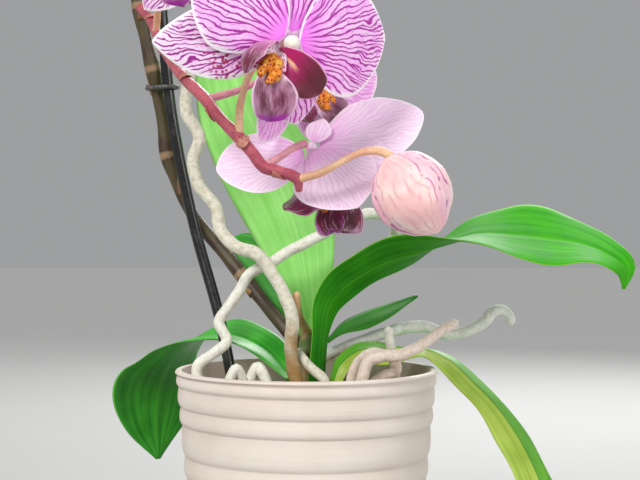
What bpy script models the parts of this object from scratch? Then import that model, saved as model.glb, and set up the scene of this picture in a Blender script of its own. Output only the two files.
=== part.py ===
"""A moth orchid in a ribbed pot: leaves, aerial roots, a flowering branch and its support stake.

All places and sizes below are in millimetres; MM turns them into Blender's metres.
The origin is the centre of the pot's underside, +Z is up and -Y is the side that the open flower faces.
"""

import math

import bmesh
import bpy
import numpy as np
from mathutils import Vector

MM = 0.001
GAP = 0.3  # clearance kept between pieces that touch
SHARP_ANGLE = 50  # degrees; a sharper edge than this stays sharp

# Pot
POT_HEIGHT = 125.0
POT_RIM_RADIUS = 67.5
POT_FOOT_RADIUS = 56.0
POT_WALL = 3.6
POT_FLOOR = 6.0
RIB_DEPTH = 1.3
RIB_EDGES = (122.5, 116.5, 106.0, 97.0, 81.0, 70.0, 60.5, 46.0, 35.0, 22.0, 10.0)  # irregular, as thrown
POT_SEGMENTS = 40
RIB_CREST = 0.3  # share of a band's height at which it stands out most
FOOT_BEVEL = 1.2
RIM_BEVEL = 0.8
COVE = 3.0  # bevel between the floor and the inner wall

# Potting bark
BARK_TOP = 109.0
BARK_BUMP = 1.2
BARK_WAVE = 3.4  # the bumps' length round a radian
BARK_CLEARANCE = 1.0
BARK_RINGS = (50.0, 36.0, 22.0, 9.0)
BARK_SEGMENTS = 24

# Stem at the middle of the plant
CROWN = ((1, 10, 111, 7.5), (1, 10, 122, 7.0), (1, 10, 134, 6.0), (1, 11, 144, 4.0))

LEAF_THICKNESS = 2.2
TEPAL_THICKNESS = 0.9
LIP_THICKNESS = 1.2
TEPAL_START = 3.6  # where petals and sepals begin, from the flower's axis
TEPAL_CLAW = 1.3  # half width of a petal or a sepal where it begins
TEPAL_TIP = 0.985  # share of the outline at which a tepal's last, narrow ring lies

# Roots: name, radius, radius at the free end, points
ROOTS = (
    ("root_tall", 3.4, 3.0, (
        (-3, -15, 111.3), (-8, -13, 137), (-7, -12, 150), (-18, -8, 175), (-25, -8, 184),
        (-36, -4, 188), (-44, 0, 196), (-47, 3, 208), (-56, 6, 220), (-59, 8, 233),
        (-56, 10, 244), (-63, 12, 258), (-62, 14, 274), (-56, 15, 291))),
    ("root_arching", 2.9, 2.7, (
        (5, 8, 141), (10, 11, 150), (16, 15.5, 158.5), (23, 21, 166), (31, 27, 174),
        (39, 30, 183), (45, 27, 190), (47, 19, 198),
        (42, 10, 203), (33, 4, 205), (26, 2, 203), (16, 0, 200), (10, 0, 195), (2, 0, 191),
        (-10, 1, 185), (-19, 1, 179), (-30, 1, 173), (-35, 1, 164), (-41, 0, 156), (-45, 0, 149),
        (-41, -2, 139), (-48, -6, 133), (-55.5, -10, 127), (-54.5, -12, 118), (-53, -13, 111.3))),
    ("root_front", 3.0, 2.2, (
        (26, -36, 111.3), (28, -36, 124), (31, -36, 132), (37, -36, 134.5), (45, -34, 134.5),
        (54, -32, 138), (61, -30, 142), (68, -28, 147), (76, -26, 151))),
    ("root_loop", 2.5, 2.5, (
        (21, -29, 111.3), (23, -29, 124), (26, -28, 131), (31, -27, 135), (39, -24, 134.5),
        (45, -23, 130), (45, -24, 126), (39, -26, 124), (33, -27, 119), (31, -27, 111.3))),
    ("root_stub", 2.4, 2.0, ((47, -16, 111.3), (44, -17, 130), (42, -18, 142), (41, -18, 148))),
    ("root_silver", 3.2, 2.6, (
        (3, 10, 128), (16, 15, 133), (31, 19, 138), (46, 22, 143), (62, 23, 145), (76, 22, 141),
        (89, 20, 145), (95, 19, 149), (98, 18, 153), (103, 18, 154), (107, 18, 151),
        (108, 18, 146))),
    ("root_pale", 2.5, 2.5, (
        (2, 8, 131), (-4, -1, 133), (-2, -8, 131), (3, -12, 126), (9, -16, 121), (12, -18, 111.3))),
    ("root_new_tip", 2.2, 1.8, ((1, 8, 143), (-4, 1, 152), (-5, -2, 159), (-5, -3, 165))),
    ("root_hump_left", 2.6, 2.6, (
        (-38, -25, 111.3), (-38, -25, 122), (-35, -24, 127), (-32, -22, 122), (-31, -21, 111.3))),
    ("root_hump_middle", 2.9, 2.9, (
        (-29, -5, 111.3), (-28, -5, 121), (-25, -6, 126), (-21, -8, 121), (-20, -9, 111.3))),
)

ROOTS_FROM_CROWN = ("root_arching", "root_silver", "root_pale", "root_new_tip")

# Leaves: points of the midrib with the half width, the direction to one edge, and how far each
# half rises from the midrib, in degrees
LEAVES = {
    "leaf_right": (
        (6, -1, 114, 7, -0.5, -0.85, 0, 20), (7, -2, 130, 8, -0.55, -0.8, 0, 20),
        (8.5, -3, 146, 8, -0.6, -0.75, 0.1, 20), (11, -4, 157, 9, -0.68, -0.67, 0.3, 18),
        (18.5, -6, 167, 12, -0.6, -0.63, 0.48, 17), (29.5, -8, 175, 15, -0.44, -0.74, 0.5, 16),
        (42.5, -10, 181.5, 18, -0.27, -0.84, 0.46, 16), (54.5, -11, 185, 20, -0.14, -0.93, 0.35, 16),
        (71, -12, 190, 22, -0.02, -1, 0.05, 16), (86, -13, 194, 25, 0, -0.96, -0.27, 14),
        (106, -14, 193.5, 28, 0, -0.88, -0.47, 12), (124, -14, 191.5, 28, -0.1, -0.86, -0.5, 12),
        (139, -14, 189, 24, -0.18, -0.88, -0.43, 12), (152, -14, 184, 18, -0.31, -0.88, -0.35, 12),
        (161, -14, 177, 10, -0.61, -0.77, -0.19, 10), (161, -14, 166.5, 1.5, -0.61, -0.77, -0.19, 5)),
    "leaf_tall": (
        (2, 20, 132, 8, 1, 0, 0, 30), (2, 21, 146, 9, 1, 0, 0, 30), (0, 25, 165, 14, 1, 0, 0, 25),
        (-4, 31, 188, 21, 1, -0.1, 0.1, 22), (-11, 38, 210, 26, 1, -0.1, 0.1, 20),
        (-24, 48, 240, 28, 1, -0.1, 0.2, 16), (-37, 55, 271, 25, 1, -0.1, 0.2, 14),
        (-46, 59, 296, 15, 1, -0.1, 0.2, 12), (-51, 61, 312, 1.5, 1, -0.1, 0.2, 5)),
    "leaf_left": (
        (-6, 14, 117, 7, 0.73, 0.66, 0.2, 25), (-21, 28, 131, 11, 0.73, 0.66, 0.25, 20),
        (-38, 44, 138, 16, 0.73, 0.66, 0.25, 15), (-56, 60, 137, 21, 0.73, 0.64, 0.25, 10),
        (-71, 72, 130, 26, 0.73, 0.64, 0.3, 6), (-81, 79, 118, 28, 0.75, 0.6, 0.3, 5),
        (-86, 81, 103, 27, 0.8, 0.5, 0.15, 5), (-87, 80, 86, 19, 0.85, 0.4, 0, 5),
        (-85, 78, 66, 1.5, 0.9, 0.3, 0, 5)),
    "leaf_lower_right": (
        (14, -8, 117, 4, -0.3, 0.5, 0.8, 10), (18, -6, 127, 6, -0.2, 0.6, 0.7, 12),
        (27, -1, 133.5, 8, -0.1, 0.8, 0.55, 14), (38, 4, 134, 10, 0, 0.85, 0.5, 14),
        (49, 8, 134, 12, 0.1, 0.95, 0.2, 12), (60, 12, 133.5, 12, 0.15, 0.97, 0.1, 10),
        (73, 14, 128, 12.5, 0.22, 0.95, 0.2, 10), (86, 14, 116.5, 13, 0.31, 0.89, 0.33, 10),
        (97, 12, 105.5, 14, 0.36, 0.87, 0.33, 10), (107, 10, 92, 15, 0.42, 0.85, 0.3, 12),
        (114.5, 7, 79, 15.5, 0.52, 0.8, 0.27, 12), (121.5, 4, 63, 15, 0.62, 0.73, 0.27, 12),
        (128, 1, 46, 13, 0.65, 0.7, 0.25, 12), (133, -1, 31, 9, 0.66, 0.7, 0.22, 10),
        (136, -3, 17, 1.5, 0.66, 0.7, 0.22, 5)),
    "leaf_narrow": (
        (10.5, 11, 137.5, 3, 0, 0.95, 0.3, 10), (17, 14, 144, 7, 0, 0.95, 0.3, 14),
        (31, 20, 151, 11, 0, 0.95, 0.3, 18), (45, 26, 156, 9, 0, 0.95, 0.3, 15),
        (59, 30, 161, 1.2, 0, 0.95, 0.3, 5)),
    "leaf_behind": (
        (-4, 28, 138, 6, 0.7, 0, 0.7, 15), (-8, 34, 156, 10, 0.7, 0, 0.7, 15),
        (-18, 42, 170, 12, 0.6, 0.1, 0.8, 15), (-28, 48, 181, 12, 0.5, 0.1, 0.85, 12),
        (-38, 53, 187, 8, 0.4, 0.1, 0.9, 10), (-44, 56, 189, 1.5, 0.4, 0.1, 0.9, 5)),
}

# Flower stalks: points with a radius
SPIKE = (
    (-1, 11, 130, 3.6), (-10, 14, 143, 3.6), (-17, 20, 151, 3.5), (-24, 26, 159, 3.5),
    (-35, 34, 172, 4.1), (-44, 39, 183, 3.7), (-54, 43, 194, 3.5), (-62, 45, 204, 3.4),
    (-72, 46, 225, 3.6), (-76, 46, 237, 4.4), (-78, 46, 252, 3.6), (-82, 45, 273, 3.5),
    (-84, 44, 284, 4.4), (-87, 43, 297, 3.4), (-91, 42, 318, 4.2), (-93, 42, 332, 3.0),
    (-95, 42, 343, 2.4))
BRANCH = (
    (-91, 42, 317, 2.6), (-83, 20, 308, 2.6), (-75, -10, 294, 2.6), (-66, -45, 280, 2.6),
    (-55, -80, 266, 2.6), (-44, -105, 255, 2.8), (-36, -116, 245, 2.5), (-28, -122, 237, 2.9),
    (-22, -125, 230, 2.5), (-17, -126, 224, 2.7), (-10, -127, 222, 2.4), (-3, -127, 219, 2.5),
    (-2, -124, 214, 1.5))
PEDICELS = {
    "pedicel_front": ((-28, -122, 238), (-28, -123, 247), (-26, -125, 257), (-22, -129, 266),
                      (-14, -134, 273), (-7, -139, 276)),
    "pedicel_middle": ((-43, -106, 255), (-37, -102, 257), (-29, -96, 260), (-20, -88, 265),
                       (-12, -80, 269), (-6.9, -77.6, 268.8)),
    "pedicel_back": ((-16, -126, 225), (-10, -120, 229), (-5, -110, 233), (0, -99, 235.5)),
    "pedicel_bud": ((-2, -127, 219), (6, -130, 221), (16, -131, 226), (24, -131, 230),
                    (30, -130, 231), (34, -129, 230.4)),
    "pedicel_upper": ((-77, -3, 297), (-75, -14, 307), (-72, -28, 316), (-67, -42, 324),
                      (-59, -55, 331), (-52, -65, 334)),
}
PEDICEL_RADIUS = 1.7

STAKE = (
    (-30, 12, 60, 3.0), (-46.5, 24, 150, 3.0), (-60, 34, 196, 3.0), (-73, 39, 258, 3.0),
    (-81, 40, 356, 3.0))
CLIP_HEIGHT = 273.0
CLIP_WIRE = 1.1
CLIP_TURNS = 24  # steps round the loop
CLIP_SIDES = 6
STEM_REACH = 3.7  # from the axis of the spike or the stake to its surface where the clip holds it

# Bud: points along its axis with a radius
BUD = (
    (36.5, -128, 228.5, 3.0), (38.5, -128, 225.5, 10), (42, -128, 220, 15.2),
    (46.5, -128, 213, 17.4), (50.5, -128, 207, 16), (54, -128, 201.5, 11.5), (56.5, -128, 197.8, 6),
    (57.8, -128, 195.6, 1.5))

# Flowers. centre, the direction each faces, the direction of its back sepal, how much its tepals
# bow forward (per mm), and for each tepal its angle round the flower, length, width and height
# above the sepals' plane. lip is the angle that the lip hangs at, and how much it turns towards its
# tip. lip_faces is the column's direction where it isn't the flower's.
FLOWERS = {
    "front": {
        "centre": (-6, -143, 276), "faces": (0.42, -0.90, -0.12), "up": (0.0, 0.0, 1.0),
        "bow": -0.0045, "low_bow": -0.010,
        "sepal_top": (78, 48, 30, 0.0), "sepal_left": (183, 55, 30, 0.0),
        "sepal_right": (292, 38, 28, 0.0), "petal_left": (146, 48, 42, 2.4),
        "petal_right": (5, 49, 49, 2.4), "lip": (225, 33), "lip_size": 1.0,
        "lip_faces": (0.20, -0.95, -0.15)},
    "middle": {
        "centre": (-4, -80, 268), "faces": (0.75, -0.63, -0.20), "up": (0.0, 0.0, 1.0),
        "bow": 0.004, "low_bow": 0.0,
        "sepal_top": (95, 42, 28, 0.0), "sepal_left": (230, 40, 24, 0.0),
        "sepal_right": (310, 38, 24, 0.0), "petal_left": (165, 34, 36, 2.4),
        "petal_right": (0, 46, 44, 2.4), "lip": (325, 0), "lip_size": 0.85},
    "back": {
        "centre": (3, -93, 234), "faces": (0.12, 0.80, -0.58), "up": (0.1, 0.3, 1.0),
        "bow": -0.002, "low_bow": 0.0,
        "sepal_top": (102, 17, 11, 0.0), "sepal_left": (234, 46, 38, -2.6),
        "sepal_right": (195, 40, 26, 0.0), "petal_left": (158, 53, 38, 2.4),
        "petal_right": (-21, 44, 34, 2.4), "lip": (250, 0), "lip_size": 1.15},
    "upper": {
        "centre": (-49, -68, 334), "faces": (-0.35, -0.90, 0.0), "up": (0.0, 0.0, 1.0),
        "bow": -0.004, "low_bow": 0.0,
        "sepal_top": (90, 46, 30, 0.0), "sepal_left": (222, 46, 28, 0.0),
        "sepal_right": (318, 46, 28, 0.0), "petal_left": (165, 44, 44, 2.4),
        "petal_right": (15, 44, 44, 2.4), "lip": (270, 0), "lip_size": 1.0},
}
# The lip, from the column's foot outwards: forward, down, half width, rise of its sides in degrees,
# and how far its sides sweep back up towards the column
LIP = (
    (3.5, 4.2, 2.5, 30, 0), (5.5, 7, 11, 42, 1), (8, 10.5, 18, 36, 2), (10.5, 14.5, 20.5, 30, 3),
    (12.5, 18.5, 17, 24, 2), (13.5, 22.5, 10.5, 12, 1), (14.2, 26, 8.5, 2, 0), (14.2, 29.5, 6.5, 0, 0),
    (13.2, 33, 1.0, 0, 0))
COLUMN = ((-2.2, 0, 2.2), (0, 0, 2.7), (3, -0.2, 2.6), (6, -0.2, 2.9), (9, 0.8, 3.2), (10.8, 1.6, 2.0))


def clear_scene():
    for obj in list(bpy.data.objects):
        bpy.data.objects.remove(obj)


def material(name, colour, roughness):
    """The piece's plain material, made once for each name."""
    made = bpy.data.materials.get(name)
    if made is None:
        made = bpy.data.materials.new(name)
        made.use_nodes = True
        shader = made.node_tree.nodes["Principled BSDF"]
        shader.inputs["Base Color"].default_value = (*colour, 1.0)
        shader.inputs["Roughness"].default_value = roughness
    return made


def flow(stations, count):
    """count rows, evenly spaced along a smooth curve through the stations' first three values."""
    rows = np.array(stations, float)
    steps = np.linalg.norm(np.diff(rows[:, :3], axis=0), axis=1)
    knots = np.concatenate([[0.0], np.cumsum(steps)])
    slopes = np.gradient(rows, knots, axis=0)
    at = np.linspace(0.0, knots[-1], count)
    low = np.clip(np.searchsorted(knots, at, side="right") - 1, 0, len(rows) - 2)
    span = (knots[low + 1] - knots[low])[:, None]
    t = (at - knots[low])[:, None] / span
    return (
        (2 * t**3 - 3 * t**2 + 1) * rows[low]
        + (t**3 - 2 * t**2 + t) * span * slopes[low]
        + (3 * t**2 - 2 * t**3) * rows[low + 1]
        + (t**3 - t**2) * span * slopes[low + 1]
    )


def length_of(stations):
    rows = np.array(stations, float)[:, :3]
    return float(np.linalg.norm(np.diff(rows, axis=0), axis=1).sum())


def directions(centres):
    """The unit tangent at each of a row of points."""
    return [Vector(v).normalized() for v in np.gradient(np.array(centres, float), axis=0)]


def object_from(bm, name, made_of):
    """An object from a finished bmesh, shaded smooth except at its sharp edges."""
    bmesh.ops.recalc_face_normals(bm, faces=bm.faces)
    mesh = bpy.data.meshes.new(name)
    bm.to_mesh(mesh)
    bm.free()
    mesh.shade_smooth()
    mesh.set_sharp_from_angle(angle=math.radians(SHARP_ANGLE))
    mesh.materials.append(made_of)
    obj = bpy.data.objects.new(name, mesh)
    bpy.context.scene.collection.objects.link(obj)
    return obj


def skin(name, rings, made_of):
    """An object whose surface joins a row of closed rings, with flat ends."""
    bm = bmesh.new()
    layers = [[bm.verts.new(Vector(p) * MM) for p in ring] for ring in rings]
    for low, high in zip(layers, layers[1:]):
        for i in range(len(low)):
            j = (i + 1) % len(low)
            bm.faces.new((low[i], low[j], high[j], high[i]))
    bm.faces.new(reversed(layers[0]))
    bm.faces.new(layers[-1])
    return object_from(bm, name, made_of)


def tube(name, stations, made_of, sides=8, spacing=6.0, grow=0.0):
    """A round stem or root through stations of x, y, z and radius."""
    rows = flow(stations, max(4, round(length_of(stations) / spacing)))
    centres, radii = rows[:, :3], rows[:, 3] + grow
    tangents = directions(centres)
    across = tangents[0].orthogonal().normalized()
    rings = []
    for centre, radius, tangent in zip(centres, radii, tangents):
        across = (across - tangent * across.dot(tangent)).normalized()
        other = tangent.cross(across)
        turns = [2 * math.pi * k / sides for k in range(sides)]
        rings.append([
            Vector(centre) + (across * math.cos(a) + other * math.sin(a)) * radius for a in turns
        ])
    return skin(name, rings, made_of)


def blade_ring(middle, tangent, side, half_width, rise, thickness, columns, sweep=0.0):
    """One closed cross-section of a leaf: a shallow V, thick at the midrib and thin at its edges."""
    side = (side - tangent * side.dot(tangent)).normalized()
    upper = side.cross(tangent).normalized()
    top, bottom = [], []
    for k in range(columns):
        u = 2 * k / (columns - 1) - 1
        lift = abs(u) ** 1.4 * half_width * math.sin(rise)
        place = middle + side * (u * half_width * math.cos(rise)) + upper * lift
        place -= tangent * (sweep * u * u)
        half = thickness / 2 * (1 - abs(u) ** 3)
        top.append(place + upper * half)
        bottom.append(place - upper * half)
    return top + bottom[-2:0:-1]


def leaf(name, stations, made_of, columns=5, spacing=13.0):
    rows = flow(stations, max(6, round(length_of(stations) / spacing)))
    tangents = directions(rows[:, :3])
    rings = []
    for row, tangent in zip(rows, tangents):
        thickness = LEAF_THICKNESS * min(1.0, 0.3 + row[3] / 12)
        rings.append(blade_ring(
            Vector(row[:3]), tangent, Vector(row[4:7]), row[3], math.radians(row[7]), thickness, columns
        ))
    return skin(name, rings, made_of)


def cut(piece, cutters):
    for cutter in cutters:
        boolean = piece.modifiers.new("clear_of_" + cutter.name, "BOOLEAN")
        boolean.operation = "DIFFERENCE"
        boolean.solver = "EXACT"
        boolean.object = cutter


def as_cutter(obj):
    obj.hide_render = True
    obj.display_type = "WIRE"
    return obj


def outer_radius(height):
    """The pot's outside at a height, before its ribs."""
    return POT_FOOT_RADIUS + (POT_RIM_RADIUS - POT_FOOT_RADIUS) * height / POT_HEIGHT


def pot_profile():
    """The pot's section, from the edge of its underside, up the ribbed outside and down the inside."""
    edges = sorted(RIB_EDGES)
    points = [(POT_FOOT_RADIUS - FOOT_BEVEL, 0.0), (POT_FOOT_RADIUS, FOOT_BEVEL)]
    points.append((outer_radius(edges[0]), edges[0] - COVE))
    for low, high in zip(edges, edges[1:]):
        crest = low + RIB_CREST * (high - low)
        points.append((outer_radius(low) - RIB_DEPTH, low))
        points.append((outer_radius(crest), crest))
    points.append((outer_radius(edges[-1]) - RIB_DEPTH, edges[-1]))
    points.append((POT_RIM_RADIUS, POT_HEIGHT - RIM_BEVEL))
    points.append((POT_RIM_RADIUS - RIM_BEVEL, POT_HEIGHT))
    points.append((POT_RIM_RADIUS - POT_WALL, POT_HEIGHT))
    points.append((POT_FOOT_RADIUS - POT_WALL, POT_FLOOR + COVE))
    points.append((POT_FOOT_RADIUS - POT_WALL - COVE, POT_FLOOR))
    return points


def turned(name, profile, made_of, segments):
    """A solid of revolution about Z whose profile starts and ends near the axis, closed by flat discs."""
    rings = []
    for radius, height in profile:
        turns = [2 * math.pi * k / segments for k in range(segments)]
        rings.append([(radius * math.cos(a), radius * math.sin(a), height) for a in turns])
    return skin(name, rings, made_of)


def make_pot():
    return turned("pot", pot_profile(), material("pot_clay", (0.75, 0.65, 0.57), 0.6), POT_SEGMENTS)


def bark_radius(height):
    """The bark's outside at a height, clear of the pot's inner wall."""
    slope = (POT_RIM_RADIUS - POT_FOOT_RADIUS) / (POT_HEIGHT - POT_FLOOR - COVE)
    return POT_FOOT_RADIUS - POT_WALL - BARK_CLEARANCE + slope * (height - POT_FLOOR - COVE)


def make_bark(stake_cutter):
    """The potting bark: a plug that fills the pot, lumpy on top."""
    profile = [(bark_radius(POT_FLOOR) - COVE, POT_FLOOR + GAP)]
    profile += [(bark_radius(height), height) for height in (POT_FLOOR + 2 * COVE, BARK_TOP)]
    profile += [(radius, BARK_TOP) for radius in BARK_RINGS]
    bark = turned("potting_bark", profile, material("bark", (0.23, 0.12, 0.06), 0.9), BARK_SEGMENTS)
    for vertex in bark.data.vertices:
        place = vertex.co / MM
        if place.z > BARK_TOP - GAP and place.xy.length < BARK_RINGS[0] + GAP:
            wave = math.sin(place.x / BARK_WAVE) * math.cos(place.y / BARK_WAVE + 1.0)
            vertex.co.z += BARK_BUMP * wave * MM
    cut(bark, [stake_cutter])
    return bark


def make_roots(crown_cutter):
    velamen = material("root", (0.62, 0.60, 0.50), 0.7)
    for name, radius, tip, points in ROOTS:
        last = len(points) - 1
        stations = [
            (*p, radius + (tip - radius) * (i / last) ** 3) for i, p in enumerate(points)
        ]
        root = tube(name, stations, velamen)
        if name in ROOTS_FROM_CROWN:
            cut(root, [crown_cutter])


def make_leaves(crown_cutter):
    colours = {
        "leaf_tall": (0.25, 0.50, 0.12), "leaf_lower_right": (0.28, 0.45, 0.06),
    }
    for name, stations in LEAVES.items():
        green = material(name, colours.get(name, (0.06, 0.28, 0.02)), 0.35)
        cut(leaf(name, stations, green), [crown_cutter])


def make_stalks(crown_cutter):
    spike = tube("flower_spike", SPIKE, material("spike", (0.12, 0.07, 0.04), 0.6))
    cut(spike, [crown_cutter])
    spike_cutter = as_cutter(tube("spike_cutter", SPIKE, spike.data.materials[0], grow=GAP))
    branch = tube("flower_branch", BRANCH, material("branch", (0.50, 0.13, 0.12), 0.5))
    cut(branch, [spike_cutter])
    branch_cutter = as_cutter(tube("branch_cutter", BRANCH, branch.data.materials[0], grow=GAP))
    peach = material("pedicel", (0.75, 0.42, 0.25), 0.5)
    for name, points in PEDICELS.items():
        stations = [(*p, PEDICEL_RADIUS) for p in points]
        cut(tube(name, stations, peach, sides=7), [branch_cutter])
    return spike_cutter


def make_stake():
    black = material("stake", (0.02, 0.025, 0.02), 0.35)
    stake = tube("support_stake", STAKE, black, spacing=25.0)
    return stake, as_cutter(tube("stake_cutter", STAKE, black, spacing=25.0, grow=GAP))


def at_height(stations, height):
    """The point of a stem at a height."""
    rows = flow(stations, 200)
    return Vector(rows[np.argmin(np.abs(rows[:, 2] - height)), :3])


def clip_path():
    """Points round the racetrack-shaped loop of the clip, outside the spike and the stake."""
    spike, stake = at_height(SPIKE, CLIP_HEIGHT), at_height(STAKE, CLIP_HEIGHT)
    along = (stake - spike).normalized()
    beside = Vector((-along.y, along.x, 0.0)).normalized()
    reach = STEM_REACH + GAP + CLIP_WIRE
    points = []
    for k in range(CLIP_TURNS):
        a = 2 * math.pi * k / CLIP_TURNS
        end = stake if math.cos(a) > 0 else spike
        points.append(end + along * math.cos(a) * reach + beside * math.sin(a) * reach)
    return points


def make_clip():
    """A wire tie round the spike and the stake."""
    points = clip_path()
    bm = bmesh.new()
    layers = []
    for k, point in enumerate(points):
        ahead = (points[(k + 1) % CLIP_TURNS] - points[k - 1]).normalized()
        out = ahead.cross(Vector((0, 0, 1))).normalized()
        up = out.cross(ahead)
        turns = [2 * math.pi * i / CLIP_SIDES for i in range(CLIP_SIDES)]
        layers.append([
            bm.verts.new((point + (out * math.cos(b) + up * math.sin(b)) * CLIP_WIRE) * MM) for b in turns
        ])
    for k, low in enumerate(layers):
        high = layers[(k + 1) % CLIP_TURNS]
        for i in range(CLIP_SIDES):
            j = (i + 1) % CLIP_SIDES
            bm.faces.new((low[i], low[j], high[j], high[i]))
    object_from(bm, "spike_clip", material("clip", (0.12, 0.12, 0.12), 0.5))


def flower_frame(flower, facing="faces"):
    """The flower's axes: to its right as seen from the front, up towards its back sepal, and forward."""
    forward = Vector(flower.get(facing, flower["faces"])).normalized()
    up = Vector(flower["up"])
    up = (up - forward * up.dot(forward)).normalized()
    return up.cross(forward), up, forward


def tepal_width(share, width, broad):
    """Half width of a petal (broad) or a sepal at a share of its length."""
    peak, fullness = (0.52, 0.62) if broad else (0.5, 0.75)
    shape = math.sin(math.pi * share ** (math.log(0.5) / math.log(peak)))
    return TEPAL_CLAW * (1 - share) + (width / 2) * max(0.0, shape) ** fullness


def make_tepal(name, flower, plan, made_of, broad, count=7, columns=5):
    """A petal or a sepal: a thin sheet that fans out from the flower's centre and bows forward."""
    right, up, forward = flower_frame(flower)
    centre = Vector(flower["centre"])
    angle, length, width, height = plan
    turn = math.radians(angle)
    lowness = max(0.0, -math.sin(turn))
    bow = flower["bow"] + flower["low_bow"] * lowness
    rings = []
    for i in range(count):
        share = (i / (count - 1)) ** 0.9
        reach = TEPAL_START + (length - TEPAL_START) * share
        half_width = tepal_width(share * TEPAL_TIP, width, broad)
        top, bottom = [], []
        for k in range(columns):
            u = 2 * k / (columns - 1) - 1
            x = reach * math.cos(turn) - u * half_width * math.sin(turn)
            y = reach * math.sin(turn) + u * half_width * math.cos(turn)
            z = height + bow * (x * x + y * y)
            half = TEPAL_THICKNESS / 2 * (1 - abs(u) ** 3)
            place = centre + right * x + up * y
            top.append(place + forward * (z + half))
            bottom.append(place + forward * (z - half))
        rings.append(top + bottom[-2:0:-1])
    return skin(name, rings, made_of)


def hanging(flower, share):
    """The direction in the flower's plane that the lip runs in, at a share of its length."""
    right, up, _ = flower_frame(flower, "lip_faces")
    start, turn = flower["lip"]
    angle = math.radians(start + turn * share)
    return right * math.cos(angle) + up * math.sin(angle)


def make_lip(name, flower, made_of):
    forward = flower_frame(flower, "lip_faces")[2]
    size = flower["lip_size"]
    centre = Vector(flower["centre"])
    stations = []
    for k, (ahead, below, half_width, rise, sweep) in enumerate(LIP):
        down = hanging(flower, k / (len(LIP) - 1))
        across = down.cross(forward)
        middle = centre + (forward * ahead + down * below) * size
        stations.append((*middle, half_width * size, *across, rise, sweep * size))
    rows = flow(stations, 9)
    rings = [
        blade_ring(
            Vector(row[:3]), tangent, Vector(row[4:7]), row[3], math.radians(row[7]), LIP_THICKNESS, 7,
            row[8])
        for row, tangent in zip(rows, directions(rows[:, :3]))
    ]
    return skin(name, rings, made_of)


def make_column(name, flower, made_of):
    forward = flower_frame(flower, "lip_faces")[2]
    down = hanging(flower, 0.0)
    stations = []
    for ahead, below, radius in COLUMN:
        stations.append((*(Vector(flower["centre"]) + forward * ahead + down * below), radius))
    return tube(name, stations, made_of, spacing=2.2)


def make_flowers():
    pale = material("petal", (0.85, 0.55, 0.78), 0.5)
    maroon = material("lip", (0.35, 0.02, 0.12), 0.45)
    cream = material("column", (0.90, 0.80, 0.75), 0.5)
    for which, flower in FLOWERS.items():
        for part in ("sepal_top", "sepal_left", "sepal_right"):
            make_tepal(f"{which}_{part}", flower, flower[part], pale, False)
        for part in ("petal_left", "petal_right"):
            make_tepal(f"{which}_{part}", flower, flower[part], pale, True)
        make_lip(f"{which}_lip", flower, maroon)
        make_column(f"{which}_column", flower, cream)


def make_bud():
    tube("bud", BUD, material("bud", (0.88, 0.60, 0.52), 0.5), sides=12, spacing=4.5)


def main():
    clear_scene()
    make_pot()
    stake, stake_cutter = make_stake()
    make_bark(stake_cutter)
    crown_green = material("crown", (0.10, 0.20, 0.04), 0.6)
    tube("crown", CROWN, crown_green, sides=10)
    crown_cutter = as_cutter(tube("crown_cutter", CROWN, crown_green, sides=10, grow=GAP))
    make_roots(crown_cutter)
    make_leaves(crown_cutter)
    make_stalks(crown_cutter)
    make_clip()
    make_flowers()
    make_bud()


main()
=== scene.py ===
"""Looks of a potted moth orchid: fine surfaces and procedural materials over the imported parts.

Places and sizes are in millimetres, in the part's own frame; MM turns them into metres.
"""

import math
import random

import bmesh
import bpy
import numpy as np
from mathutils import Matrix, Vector, noise


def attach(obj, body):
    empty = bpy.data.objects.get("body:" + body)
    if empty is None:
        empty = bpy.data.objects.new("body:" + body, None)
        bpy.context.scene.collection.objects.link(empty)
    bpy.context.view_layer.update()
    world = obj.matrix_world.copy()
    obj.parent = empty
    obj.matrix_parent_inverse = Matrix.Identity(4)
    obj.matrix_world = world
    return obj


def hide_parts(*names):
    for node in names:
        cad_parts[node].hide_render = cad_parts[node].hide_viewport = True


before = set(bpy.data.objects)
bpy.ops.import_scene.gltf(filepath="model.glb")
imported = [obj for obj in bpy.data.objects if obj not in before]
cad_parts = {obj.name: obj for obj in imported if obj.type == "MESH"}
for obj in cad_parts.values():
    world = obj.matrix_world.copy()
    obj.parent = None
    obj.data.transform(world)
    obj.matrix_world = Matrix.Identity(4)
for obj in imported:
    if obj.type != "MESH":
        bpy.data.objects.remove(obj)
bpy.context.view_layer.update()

MM = 0.001
BODY = "root"

GAP = 0.3  # clearance kept between pieces that touch

# Pot
POT_HEIGHT = 125.0
POT_RIM_RADIUS = 67.5
POT_FOOT_RADIUS = 56.0
POT_WALL = 3.6
POT_FLOOR = 6.0
RIB_DEPTH = 1.3
RIB_EDGES = (122.5, 116.5, 106.0, 97.0, 81.0, 70.0, 60.5, 46.0, 35.0, 22.0, 10.0)  # irregular, as thrown
POT_SLOPE = (POT_RIM_RADIUS - POT_FOOT_RADIUS) / POT_HEIGHT
POT_STEP = 0.6  # between the rings of its outside
POT_SEGMENTS = 144
FOOT_BEND = 1.6
RIM_BEND = 1.5
INNER_BEND = 0.6

# Potting bark
BARK_TOP = 109.0
BARK_CLEARANCE = 1.0
CHIP_COUNT = 170
CHIP_SPREAD = 58.0  # radius that their centres cover
CHIP_LIMIT = 63.0  # radius that no chip's end passes
BARK_SHARP = math.radians(50)  # an edge of the bark's surface sharper than this stays sharp
GOLDEN_ANGLE = math.radians(137.5)

CROWN = ((1, 10, 111, 7.5), (1, 10, 122, 7.0), (1, 10, 134, 6.0), (1, 11, 144, 4.0))

LEAF_SHEET = 1.8  # thickness of the sheets that stand for the solid leaves, tepals and lips
TEPAL_SHEET = 0.75
LIP_SHEET = 0.8
TEPAL_START = 3.6  # where petals and sepals begin, from the flower's axis
TEPAL_CLAW = 1.3  # half width of a petal or a sepal where it begins

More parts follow.
